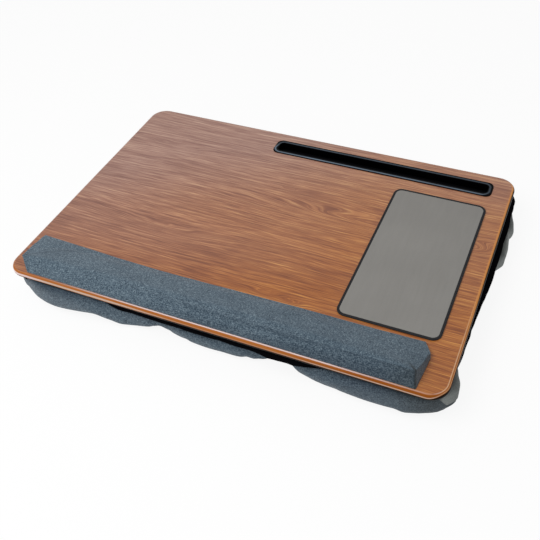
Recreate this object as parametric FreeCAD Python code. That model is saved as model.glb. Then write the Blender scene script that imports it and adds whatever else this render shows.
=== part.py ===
"""Cushioned lap desk: a film-wrapped board on a cushion with two bolsters.

Frame: millimetres, +X to the user's right, +Y away from the user, +Z up. The origin is on the surface
that the bolsters stand on, below the centre of the board.
"""

import FreeCAD
import Part
import math
import os

from FreeCAD import Vector

# ---------------------------------------------------------------- board
board_length = 600.0
board_depth = 420.0
board_thickness = 10.0
board_corner_radius = 25.0
board_edge_round = 4.6
film_thickness = 0.4
cut_margin = 1.0
height_tolerance = 0.0001

# ---------------------------------------------------------------- media slot tray
slot_length = 325.0
slot_width = 20.0
slot_depth = 15.0
slot_corner_radius = 6.0
slot_right_margin = 35.5
slot_back_margin = 27.0
slot_draft_deg = 1.5
tray_wall = 1.8
tray_floor = 1.6
tray_rim_width = 6.5
tray_rim_height = 1.4
tray_rim_round = 1.0
tray_mouth_round = 0.8
tray_rib_count = 7
tray_rib_thickness = 1.2
tray_rib_height = 2.0
hook_count = 4
hook_width = 12.0
hook_reach = 2.2
hook_height = 4.0
hook_land = 0.8
hook_play = 0.1
tray_clearance = 0.4

# ---------------------------------------------------------------- mouse pad
pad_width = 131.0
pad_corner_radius = 12.0
pad_right_margin = 28.0
pad_back_margin = 77.5
pad_rest_gap = 2.5
pad_adhesive_thickness = 0.2
pad_adhesive_inset = 1.5
pad_base_thickness = 1.0
pad_face_thickness = 0.6
pad_binding_width = 3.3
pad_binding_thickness = 0.9

# ---------------------------------------------------------------- wrist rest
rest_depth = 72.0
rest_left_margin = 14.0
rest_right_margin = 32.5
rest_front_margin = 5.0
rest_front_height = 20.0
rest_back_height = 5.0
rest_front_lean = 9.0
rest_back_lean = 4.0
rest_front_crown = 7.0
rest_back_crown = 2.5
rest_foot_round = 0.5
rest_left_fold_x = 18.0
rest_left_fold_y = 12.0
rest_right_fold_x = 11.0
rest_right_fold_y = 20.0
rest_cover_thickness = 1.0
rest_base_thickness = 2.0
rest_adhesive_thickness = 0.3
rest_adhesive_inset = 8.0

# ---------------------------------------------------------------- cushion
cushion_height = 48.0
band_side_inset = 1.0
band_end_inset = 5.0
band_corner_radius = 20.0
band_thickness = 1.0
top_panel_thickness = 1.0
core_thickness = 13.0
valley_panel_thickness = 1.0
bolster_fabric = 1.2
end_panel_width = 22.0

front_end_bulge = 6.0
front_face_inset = 1.0
front_depth = 98.0
front_tucks = (-74.0, 104.0)
front_plan_round_share = 0.45
front_middle_inset = 5.0
front_lower_round = 21.0
front_upper_round = 7.0

rear_end_bulge = 13.0
rear_face_inset = 6.0
rear_depth = 168.0
rear_tucks = (-104.0, 104.0)
rear_plan_round = 30.0
rear_lower_round = 17.0
rear_upper_round = 7.0

tuck_overlap = 6.0

# ---------------------------------------------------------------- heights and places worked out
board_bottom_z = cushion_height
board_top_z = board_bottom_z + board_thickness
core_top_z = board_bottom_z - top_panel_thickness
core_bottom_z = core_top_z - core_thickness
slot_centre_x = board_length / 2 - slot_right_margin - slot_length / 2
slot_centre_y = board_depth / 2 - slot_back_margin - slot_width / 2
pad_depth = board_depth - pad_back_margin - pad_rest_gap - rest_depth - rest_front_margin
pad_centre_x = board_length / 2 - pad_right_margin - pad_width / 2
pad_centre_y = board_depth / 2 - pad_back_margin - pad_depth / 2
front_reach = board_length / 2 + front_end_bulge
front_face_y = front_face_inset - board_depth / 2
front_plan_round = front_plan_round_share * front_depth
rear_reach = board_length / 2 + rear_end_bulge
rear_face_y = board_depth / 2 - rear_face_inset


# ---------------------------------------------------------------- helpers
def rounded_rectangle(length, depth, radius, z, centre=(0.0, 0.0)):
    """Closed wire of a rectangle with round corners, lying flat at height z."""
    half_x = length / 2 - radius
    half_y = depth / 2 - radius
    corners = [(half_x, half_y, 0), (-half_x, half_y, 90), (-half_x, -half_y, 180), (half_x, -half_y, 270)]
    edges = []
    for index, (x, y, start) in enumerate(corners):
        middle = Vector(centre[0] + x, centre[1] + y, z)
        edges.append(Part.makeCircle(radius, middle, Vector(0, 0, 1), start, start + 90))
        next_x, next_y, _ = corners[(index + 1) % 4]
        leave = math.radians(start + 90)
        offset = Vector(radius * math.cos(leave), radius * math.sin(leave), 0)
        end = Vector(centre[0] + next_x, centre[1] + next_y, z)
        edges.append(Part.makeLine(middle + offset, end + offset))
    return Part.Wire(edges)


def rounded_slab(length, depth, radius, low, high, centre=(0.0, 0.0)):
    """Flat plate with round corners between two heights."""
    face = Part.Face(rounded_rectangle(length, depth, radius, low, centre))
    return face.extrude(Vector(0, 0, high - low))


def edges_at_height(shape, z):
    """All edges of a shape that lie wholly at height z."""
    box_of = [(edge, edge.BoundBox) for edge in shape.Edges]
    return [edge for edge, box in box_of if max(abs(box.ZMin - z), abs(box.ZMax - z)) < height_tolerance]


def rounded_profile(points, radii, to_vector):
    """Closed wire through corner points with a tangent arc at each corner."""
    count = len(points)
    starts, middles, ends = [], [], []
    for index, (point, radius) in enumerate(zip(points, radii)):
        corner = to_vector(*point)
        before = (to_vector(*points[index - 1]) - corner).normalize()
        after = (to_vector(*points[(index + 1) % count]) - corner).normalize()
        half_angle = before.getAngle(after) / 2
        reach = radius / math.tan(half_angle)
        bisector = (before + after).normalize()
        centre = corner + bisector * (radius / math.sin(half_angle))
        starts.append(corner + before * reach)
        middles.append(centre - bisector * radius)
        ends.append(corner + after * reach)
    edges = []
    for index in range(count):
        edges.append(Part.Arc(starts[index], middles[index], ends[index]).toShape())
        edges.append(Part.makeLine(ends[index], starts[(index + 1) % count]))
    return Part.Wire(edges)


def largest_first(shape):
    """The solids of a result, the largest first."""
    return sorted(shape.Solids, key=lambda solid: -solid.Volume)


def export(name, shape):
    """Write one node's STEP file."""
    shape.exportStep(os.path.join("parts", name + ".step"))


# ---------------------------------------------------------------- board
def slot_cutout(low, high, clearance):
    """Prism that clears the trough of the slot tray between two heights."""
    length = slot_length + 2 * (tray_wall + clearance)
    width = slot_width + 2 * (tray_wall + clearance)
    radius = slot_corner_radius + tray_wall + clearance
    return rounded_slab(length, width, radius, low, high, (slot_centre_x, slot_centre_y))


def filleted_slab(inset):
    """The board's envelope, moved inwards on every side."""
    low = board_bottom_z + inset
    high = board_top_z - inset
    slab = rounded_slab(board_length - 2 * inset, board_depth - 2 * inset, board_corner_radius - inset, low, high)
    rims = edges_at_height(slab, low) + edges_at_height(slab, high)
    return slab.makeFillet(board_edge_round - inset, rims)


def make_board():
    """Core, the film wrapped over its top and edge, and the sheet on its underside."""
    envelope = filleted_slab(0.0)
    core = filleted_slab(film_thickness)
    skin = envelope.cut(core)
    flat_length = board_length - 2 * board_edge_round
    flat_depth = board_depth - 2 * board_edge_round
    flat_radius = board_corner_radius - board_edge_round
    sheet = rounded_slab(flat_length, flat_depth, flat_radius, board_bottom_z, board_bottom_z + film_thickness)
    hole = slot_cutout(board_bottom_z - cut_margin, board_top_z + cut_margin, tray_clearance)
    film = skin.cut(sheet).cut(hole)
    return {
        "board_core": core.cut(hole),
        "wood_film": largest_first(film)[0],
        "backing_sheet": sheet.cut(hole),
    }


# ---------------------------------------------------------------- media slot tray
def drafted_trough(grow, low, high):
    """Trough body that narrows downwards by the draft, grown by a wall on every side."""
    def outline(z):
        shrink = 2 * (board_top_z - z) * math.tan(math.radians(slot_draft_deg))
        length = slot_length + 2 * grow - shrink
        width = slot_width + 2 * grow - shrink
        return rounded_rectangle(length, width, slot_corner_radius + grow - shrink / 2, z,
                                 (slot_centre_x, slot_centre_y))
    return Part.makeLoft([outline(low), outline(high)], True, True)


def snap_hook(side, x):
    """Wedge on the trough's wall that catches below the board's underside."""
    catch_z = board_bottom_z - hook_play
    wall_y = slot_width / 2 + tray_wall / 2
    tip_y = slot_width / 2 + tray_wall + hook_reach
    corners = [(wall_y, catch_z), (tip_y, catch_z), (tip_y, catch_z - hook_land), (wall_y, catch_z - hook_height)]
    points = [Vector(x - hook_width / 2, slot_centre_y + side * y, z) for y, z in corners]
    return Part.Face(Part.makePolygon(points + points[:1])).extrude(Vector(hook_width, 0, 0))


def make_slot_tray():
    """Moulded trough with a rounded rim, drafted walls, snap hooks and ribs below its floor."""
    centre = (slot_centre_x, slot_centre_y)
    rim_length = slot_length + 2 * tray_rim_width
    rim_width = slot_width + 2 * tray_rim_width
    rim_top = board_top_z + tray_rim_height
    floor_z = board_top_z - slot_depth
    rim = rounded_slab(rim_length, rim_width, slot_corner_radius + tray_rim_width / 2, board_top_z, rim_top, centre)
    rim = rim.makeFillet(tray_rim_round, edges_at_height(rim, rim_top))
    outside = drafted_trough(tray_wall, floor_z - tray_floor, board_top_z + tray_rim_height / 2)
    outside = outside.makeFillet(tray_wall, edges_at_height(outside, floor_z - tray_floor))
    body = rim.fuse(outside)
    pitch = slot_length / hook_count
    first = slot_centre_x - slot_length / 2 + pitch / 2
    for index in range(hook_count):
        for side in (-1, 1):
            body = body.fuse(snap_hook(side, first + index * pitch))
    rib_pitch = slot_length / tray_rib_count
    rib_length = slot_width - 2 * tray_wall
    for index in range(tray_rib_count):
        x = slot_centre_x - slot_length / 2 + rib_pitch * (index + 0.5)
        corner = Vector(x - tray_rib_thickness / 2, slot_centre_y - rib_length / 2,
                        floor_z - tray_floor - tray_rib_height)
        body = body.fuse(Part.makeBox(tray_rib_thickness, rib_length, tray_rib_height + tray_floor / 2, corner))
    hollow = drafted_trough(0.0, floor_z, rim_top + cut_margin)
    hollow = hollow.makeFillet(tray_mouth_round, edges_at_height(hollow, floor_z))
    body = body.cut(hollow).removeSplitter()
    return {"slot_tray": body}


# ---------------------------------------------------------------- mouse pad
def make_mouse_pad():
    """Adhesive, rubber base, grey face and the black binding round the face."""
    centre = (pad_centre_x, pad_centre_y)
    base_low = board_top_z + pad_adhesive_thickness
    base_high = base_low + pad_base_thickness
    inner_length = pad_width - 2 * pad_binding_width
    inner_depth = pad_depth - 2 * pad_binding_width
    inner_radius = pad_corner_radius - pad_binding_width
    adhesive = rounded_slab(pad_width - 2 * pad_adhesive_inset, pad_depth - 2 * pad_adhesive_inset,
                            pad_corner_radius - pad_adhesive_inset, board_top_z, base_low, centre)
    base = rounded_slab(pad_width, pad_depth, pad_corner_radius, base_low, base_high, centre)
    face = rounded_slab(inner_length, inner_depth, inner_radius, base_high, base_high + pad_face_thickness, centre)
    binding_top = base_high + pad_binding_thickness
    binding = rounded_slab(pad_width, pad_depth, pad_corner_radius, base_high, binding_top, centre)
    binding = binding.cut(rounded_slab(inner_length, inner_depth, inner_radius, base_high, binding_top, centre))
    return {
        "mouse_pad_adhesive": adhesive,
        "mouse_pad_base": base,
        "mouse_pad_face": face,
        "mouse_pad_binding": binding,
    }


# ---------------------------------------------------------------- wrist rest
def wrist_wedge(inset, low):
    """The wrist rest's wedge from height low upwards, moved inwards by inset, with folded ends."""
    front = rest_front_margin - board_depth / 2 + inset
    back = rest_front_margin - board_depth / 2 + rest_depth - inset
    left = rest_left_margin - board_length / 2 + inset
    right = board_length / 2 - rest_right_margin - inset
    seat = board_top_z + rest_adhesive_thickness
    front_top = seat + rest_front_height - inset
    back_top = seat + rest_back_height - inset
    corners = [(front, low), (back, low), (back - rest_back_lean, back_top), (front + rest_front_lean, front_top)]
    radii = [rest_foot_round, rest_foot_round, rest_back_crown - inset, rest_front_crown - inset]
    profile = rounded_profile(corners, radii, lambda y, z: Vector(left, y, z))
    wedge = Part.Face(profile).extrude(Vector(right - left, 0, 0))
    plan = [
        (left, back), (left, front + rest_left_fold_y), (left + rest_left_fold_x, front),
        (right, front), (right, back - rest_right_fold_y), (right - rest_right_fold_x, back),
    ]
    points = [Vector(x, y, low) for x, y in plan]
    column = Part.Face(Part.makePolygon(points + points[:1])).extrude(Vector(0, 0, front_top - low))
    return wedge.common(column)


def make_wrist_rest():
    """Adhesive strip, stiff base, foam wedge and the fabric folded round both."""
    seat = board_top_z + rest_adhesive_thickness
    base_low = seat + rest_cover_thickness
    base_high = base_low + rest_base_thickness
    outside = wrist_wedge(0.0, seat)
    inside = wrist_wedge(rest_cover_thickness, base_low)
    slice_box = Part.makeBox(board_length, board_depth, base_high - base_low,
                             Vector(-board_length / 2, -board_depth / 2, base_low))
    plan = inside.BoundBox
    adhesive = Part.makeBox(plan.XLength - 2 * (rest_adhesive_inset + rest_left_fold_x),
                            plan.YLength - 2 * rest_adhesive_inset, rest_adhesive_thickness,
                            Vector(plan.XMin + rest_adhesive_inset + rest_left_fold_x,
                                   plan.YMin + rest_adhesive_inset, board_top_z))
    return {
        "wrist_rest_adhesive": adhesive,
        "wrist_rest_base": inside.common(slice_box),
        "wrist_rest_foam": inside.cut(slice_box),
        "wrist_rest_cover": outside.cut(inside),
    }


# ---------------------------------------------------------------- cushion
def lobe(low_x, high_x, low_y, high_y, top, rounds, inset):
    """One puffed lobe standing on the ground: rounded in plan, from the front and from the end."""
    plan_round, lower_round, upper_round = (radius - inset for radius in rounds)
    left, right = low_x + inset, high_x - inset
    front, back = low_y + inset, high_y - inset
    low, high = inset, top - inset
    radii = [lower_round, lower_round, upper_round, upper_round]
    side = rounded_profile([(front, low), (back, low), (back, high), (front, high)], radii,
                           lambda y, z: Vector(left, y, z))
    end = rounded_profile([(left, low), (right, low), (right, high), (left, high)], radii,
                          lambda x, z: Vector(x, front, z))
    plan = rounded_slab(right - left, back - front, plan_round, low, high, ((left + right) / 2, (front + back) / 2))
    along_x = Part.Face(side).extrude(Vector(right - left, 0, 0))
    along_y = Part.Face(end).extrude(Vector(0, back - front, 0))
    return plan.common(along_x).common(along_y)


def bolster(reach, tucks, faces, high_y, tops, rounds, inset):
    """Row of lobes that run into each other at the tucks, each with its own front face and top."""
    bounds = [-reach, *tucks, reach]
    lobes = []
    for index, (low_y, top) in enumerate(zip(faces, tops)):
        low_x = bounds[index] - (tuck_overlap / 2 if index > 0 else 0.0)
        high_x = bounds[index + 1] + (tuck_overlap / 2 if index < len(tucks) else 0.0)
        lobes.append(lobe(low_x, high_x, low_y, high_y, top, rounds, inset))
    return lobes[0].multiFuse(lobes[1:])


def front_bolster(inset):
    """Front bolster: its outer lobes reach the board's panel, the middle one stays below the band."""
    rounds = (front_plan_round, front_lower_round, front_upper_round)
    tops = (core_top_z, core_bottom_z, core_top_z)
    faces = (front_face_y, front_face_y + front_middle_inset, front_face_y)
    return bolster(front_reach, front_tucks, faces, front_face_y + front_depth, tops, rounds, inset)


def rear_bolster(inset):
    """Rear bolster, below the foam sheet all the way."""
    rounds = (rear_plan_round, rear_lower_round, rear_upper_round)
    lobe_count = len(rear_tucks) + 1
    faces = (rear_face_y - rear_depth,) * lobe_count
    tops = (core_bottom_z,) * lobe_count
    return bolster(rear_reach, rear_tucks, faces, rear_face_y, tops, rounds, inset)


def sewn_bolster(name, reach, outside, filling):
    """Filling, the main cover and the two end panels of one bolster."""
    shell = outside.cut(filling)
    middle = Part.makeBox(2 * (reach - end_panel_width), 2 * board_depth, 2 * cushion_height,
                          Vector(end_panel_width - reach, -board_depth, -cushion_height))
    return {
        name + "_bolster_filling": filling,
        name + "_bolster_cover": shell.common(middle),
        name + "_end_panels": shell.cut(middle),
    }


def make_cushion():
    """Top panel, band, foam sheet, panel between the bolsters, and both bolsters."""
    band_length = board_length - 2 * band_side_inset
    band_depth = board_depth - 2 * band_end_inset
    inner_length = band_length - 2 * band_thickness
    inner_depth = band_depth - 2 * band_thickness
    inner_radius = band_corner_radius - band_thickness
    pocket_low = board_top_z - slot_depth - tray_floor - tray_rib_height - tray_clearance
    pocket = slot_cutout(pocket_low, board_bottom_z + cut_margin, hook_reach + tray_clearance)
    top_panel = rounded_slab(band_length, band_depth, band_corner_radius, core_top_z, board_bottom_z)
    core = rounded_slab(inner_length, inner_depth, inner_radius, core_bottom_z, core_top_z)
    band = rounded_slab(band_length, band_depth, band_corner_radius, core_bottom_z, core_top_z)
    valley_front = front_face_y + front_depth - front_upper_round
    valley_back = rear_face_y - rear_depth + rear_upper_round
    valley = Part.makeBox(band_length, valley_back - valley_front, valley_panel_thickness,
                          Vector(-band_length / 2, valley_front, core_bottom_z - valley_panel_thickness))
    front = front_bolster(0.0)
    rear = rear_bolster(0.0)
    return {
        **sewn_bolster("front", front_reach, front, front_bolster(bolster_fabric)),
        **sewn_bolster("rear", rear_reach, rear, rear_bolster(bolster_fabric)),
        "cushion_top_panel": top_panel.cut(pocket),
        "core_filling": core.cut(pocket).cut(front),
        "gusset_band": band.cut(core).cut(front),
        "valley_panel": valley.cut([front, rear]),
    }


# ---------------------------------------------------------------- build
def main():
    """Build every node and write one STEP file for each."""
    os.makedirs("parts", exist_ok=True)
    nodes = {}
    for section in (make_board, make_slot_tray, make_mouse_pad, make_wrist_rest, make_cushion):
        nodes.update(section())
    for name, shape in nodes.items():
        export(name, shape)
        box = shape.BoundBox
        size = " x ".join("%.1f" % length for length in (box.XLength, box.YLength, box.ZLength))
        print("%-24s solids %d  valid %s  size %s" % (name, len(shape.Solids), shape.isValid(), size))


main()
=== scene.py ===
"""Dresses a cushioned lap desk: a wood-film board with a media slot, a mouse pad and a padded
wrist rest, on a black cushion with two lobed bolsters.

Everything is in metres, in the frame of the solids: +X to the user's right, +Y away from the
user, +Z up, with the origin on the floor below the centre of the board.
"""

from __future__ import annotations

import logging
import math
from collections.abc import Callable, Iterator, Sequence
from contextlib import contextmanager
from dataclasses import dataclass
from enum import Enum

import bpy
import numpy as np
from mathutils import Matrix, Vector


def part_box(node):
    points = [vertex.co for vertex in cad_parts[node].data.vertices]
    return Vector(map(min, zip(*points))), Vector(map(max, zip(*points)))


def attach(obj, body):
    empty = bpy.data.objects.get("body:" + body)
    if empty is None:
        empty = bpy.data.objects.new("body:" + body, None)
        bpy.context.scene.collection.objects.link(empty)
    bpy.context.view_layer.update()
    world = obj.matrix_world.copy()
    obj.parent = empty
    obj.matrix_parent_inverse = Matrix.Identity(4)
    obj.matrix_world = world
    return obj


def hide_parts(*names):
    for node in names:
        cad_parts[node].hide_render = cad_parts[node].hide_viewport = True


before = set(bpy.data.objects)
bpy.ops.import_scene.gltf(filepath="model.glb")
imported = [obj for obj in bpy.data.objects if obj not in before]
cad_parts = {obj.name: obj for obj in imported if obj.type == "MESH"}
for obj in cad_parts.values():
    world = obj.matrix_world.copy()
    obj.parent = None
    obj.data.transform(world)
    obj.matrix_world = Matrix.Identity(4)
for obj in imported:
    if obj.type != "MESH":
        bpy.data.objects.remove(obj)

log = logging.getLogger("lap_desk")

BODY = "root"
MM = 0.001
BOARD_TOP = 58.0 * MM
EDGE_ROUND = 0.0046
SHADE = "shade"
ROUND_PULL = 0.5523
ORIGIN = (0.0, 0.0, 0.0)

Colour = tuple[float, float, float, float]
Point = tuple[float, float, float]
Weights = Callable[[np.ndarray], np.ndarray]


# ---------------------------------------------------------------- colours and node trees


def paint(red: float, green: float, blue: float) -> Colour:
    """Turns a screen colour into the linear colour that a shader takes.

    Args:
        red: Red, from 0 to 255.
        green: Green, from 0 to 255.
        blue: Blue, from 0 to 255.

    Returns:
        The linear colour with a full alpha.
    """
    linear = []
    for part in (red, green, blue):
        share = part / 255
        linear.append(share / 12.92 if share <= 0.04045 else ((share + 0.055) / 1.055) ** 2.4)
    return (linear[0], linear[1], linear[2], 1.0)


class Op(Enum):
    """The sums that shader values take part in."""

    ADD = "ADD"
    SUBTRACT = "SUBTRACT"
    MULTIPLY = "MULTIPLY"
    DIVIDE = "DIVIDE"
    MAXIMUM = "MAXIMUM"
    MINIMUM = "MINIMUM"
    ABSOLUTE = "ABSOLUTE"
    SINE = "SINE"
    ARCCOSINE = "ARCCOSINE"
    EXPONENT = "EXPONENT"


class Value:
    """A socket of a shader tree that takes part in sums like a number."""

    def __init__(self, tree: Tree, socket: bpy.types.NodeSocket) -> None:
        """Keeps the socket and the tree that its sums go into."""
        self.tree, self.socket = tree, socket

    def __add__(self, other: Number) -> Value:
        """Adds another value."""
        return self.tree.math(Op.ADD, self, other)

    def __sub__(self, other: Number) -> Value:
        """Takes another value away."""
        return self.tree.math(Op.SUBTRACT, self, other)

    def __rsub__(self, other: Number) -> Value:
        """Takes this value away from a number."""
        return self.tree.math(Op.SUBTRACT, other, self)

    def __mul__(self, other: Number) -> Value:
        """Multiplies by another value."""
        return self.tree.math(Op.MULTIPLY, self, other)

    def __abs__(self) -> Value:
        """Drops the sign."""
        return self.tree.math(Op.ABSOLUTE, self)

    def at_least(self, other: Number) -> Value:
        """Takes the larger of two values."""
        return self.tree.math(Op.MAXIMUM, self, other)

    def at_most(self, other: Number) -> Value:
        """Takes the smaller of two values."""
        return self.tree.math(Op.MINIMUM, self, other)

    def clip(self, low: float, high: float) -> Value:
        """Keeps the value between two limits."""
        return self.at_least(low).at_most(high)

    def span(
        self, low: float, high: float, to_low: float = 0.0, to_high: float = 1.0,
        smooth: bool = True,
    ) -> Value:
        """Maps one range of the value to another and clamps it there."""
        inputs = {0: self, 1: low, 2: high, 3: to_low, 4: to_high}
        kind = "SMOOTHSTEP" if smooth else "LINEAR"
        return self.tree.out("ShaderNodeMapRange", inputs, interpolation_type=kind)


Number = Value | float


class Tree:
    """Adds and links the nodes of one shader tree."""

    def __init__(self, tree: bpy.types.NodeTree) -> None:
        """Keeps the tree that the nodes go into."""
        self.tree = tree

    def add(self, kind: str, inputs: dict | None = None, **settings: object) -> bpy.types.Node:
        """Adds a node.

        Args:
            kind: The node's type name.
            inputs: Socket name or number to a value, which is linked, or to a plain default.
            settings: The node's own settings.

        Returns:
            The new node.
        """
        node = self.tree.nodes.new(kind)
        for name, value in settings.items():
            setattr(node, name, value)
        for name, value in (inputs or {}).items():
            if isinstance(value, Value):
                self.tree.links.new(value.socket, node.inputs[name])
            else:
                node.inputs[name].default_value = value
        return node

    def outs(self, node: bpy.types.Node) -> dict[str, Value]:
        """Returns a node's outputs by name."""
        return {socket.name: Value(self, socket) for socket in node.outputs}

    def out(
        self, kind: str, inputs: dict | None = None, key: int | str = 0, **settings: object
    ) -> Value:
        """Adds a node and returns one of its outputs, by name or number."""
        return Value(self, self.add(kind, inputs, **settings).outputs[key])

    def math(self, op: Op, *values: Number) -> Value:
        """Adds a sum on one or two values."""
        return self.out("ShaderNodeMath", dict(enumerate(values)), operation=op.value)

    def length(self, vector: Value) -> Value:
        """Measures a vector."""
        return self.out("ShaderNodeVectorMath", {0: vector}, "Value", operation="LENGTH")

    def split(self, vector: Value) -> tuple[Value, ...]:
        """Splits a vector into its X, Y and Z values."""
        return tuple(self.outs(self.add("ShaderNodeSeparateXYZ", {0: vector})).values())

    def join(self, x: Number, y: Number) -> Value:
        """Joins two values into a vector."""
        return self.out("ShaderNodeCombineXYZ", {0: x, 1: y})

    def stretch(self, vector: Value, scale: Point, move: Point = ORIGIN) -> Value:
        """Scales and moves a vector, in that order."""
        inputs = {"Vector": vector, "Location": move, "Scale": scale}
        return self.out("ShaderNodeMapping", inputs)

    def noise(
        self, vector: Value, scale: float | Point = 1.0, detail: float = 2.0, rough: float = 0.5,
        move: Point = ORIGIN,
    ) -> Value:
        """Adds a noise, from 0 to 1.

        Args:
            vector: Where the noise is read.
            scale: Its frequency, or one along each axis.
            detail: How many finer layers it has.
            rough: How strong the finer layers are.
            move: A shift, taken with a frequency along each axis.

        Returns:
            The noise's value.
        """
        if isinstance(scale, tuple):
            vector, scale = self.stretch(vector, scale, move), 1.0
        inputs = {"Vector": vector, "Scale": scale, "Detail": detail, "Roughness": rough}
        return self.out("ShaderNodeTexNoise", inputs)

    def ramp(self, value: Value, stops: Sequence[tuple[float, Colour]]) -> Value:
        """Adds a colour ramp and returns its colour."""
        node = self.add("ShaderNodeValToRGB", {0: value})
        elements = node.color_ramp.elements
        while len(elements) < len(stops):
            elements.new(0.5)
        for element, (place, colour) in zip(elements, stops):
            element.position = place
            element.color = colour
        return Value(self, node.outputs[0])

    def mix(self, share: Value, first: Value | Colour, second: Value | Colour) -> Value:
        """Lays a second colour over a first one by a share and returns the colour."""
        return self.out("ShaderNodeMix", {0: share, 6: first, 7: second}, 2, data_type="RGBA")

    def blend(self, share: Number, first: Number, second: Number) -> Value:
        """Goes from a first value to a second one by a share and returns the value."""
        return self.out("ShaderNodeMix", {0: share, 2: first, 3: second}, data_type="FLOAT")

    def place(self, group: bpy.types.NodeTree, **inputs: Number) -> dict[str, Value]:
        """Places a node group and returns its outputs by name."""
        return self.outs(self.add("ShaderNodeGroup", inputs, node_tree=group))

    def seen(self) -> tuple[dict[str, Value], Value]:
        """Returns the kinds of ray, and whether a ray ends in the picture."""
        path = self.outs(self.add("ShaderNodeLightPath"))
        seen = path["Is Camera Ray"].at_least(path["Is Glossy Ray"])
        return path, seen.at_least(path["Is Transmission Ray"])


class Effect(Tree):
    """A node group with named inputs and outputs, which any material may place."""

    def __init__(self, name: str, inputs: dict[str, float | None], outputs: str) -> None:
        """Makes the group's sockets.

        Args:
            name: The group's name.
            inputs: Name to a default value, or to None for a vector.
            outputs: The names of the values that the group puts out.
        """
        super().__init__(bpy.data.node_groups.new(name, "ShaderNodeTree"))
        for title, default in inputs.items():
            kind = "NodeSocketVector" if default is None else "NodeSocketFloat"
            socket = self.tree.interface.new_socket(title, in_out="INPUT", socket_type=kind)
            if default is not None:
                socket.default_value = default
        for title in outputs.split():
            self.tree.interface.new_socket(title, in_out="OUTPUT", socket_type="NodeSocketFloat")
        self.given = self.outs(self.tree.nodes.new("NodeGroupInput"))
        self.result = self.tree.nodes.new("NodeGroupOutput").inputs

    def put(self, **values: Value) -> bpy.types.NodeTree:
        """Links values to the group's outputs and returns the group."""
        for name, value in values.items():
            self.tree.links.new(value.socket, self.result[name])
        return self.tree


@dataclass(frozen=True)
class Eye:
    """One closed eye of the wood figure: its centre, half length, half width and lift."""

    x: float
    y: float
    length: float
    width: float
    lift: float


WOOD_EYES = (
    Eye(0.150, 0.044, 0.128, 0.0125, 0.024),
    Eye(0.046, -0.127, 0.018, 0.0034, 0.0062),
    Eye(0.082, -0.131, 0.017, 0.0034, 0.0058),
    Eye(-0.003, 0.078, 0.016, 0.0030, 0.0050),
    Eye(-0.215, 0.120, 0.075, 0.0085, 0.0085),
    Eye(-0.130, -0.060, 0.095, 0.0095, 0.0085),
    Eye(0.268, 0.047, 0.021, 0.0095, 0.0165),
)


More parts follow.
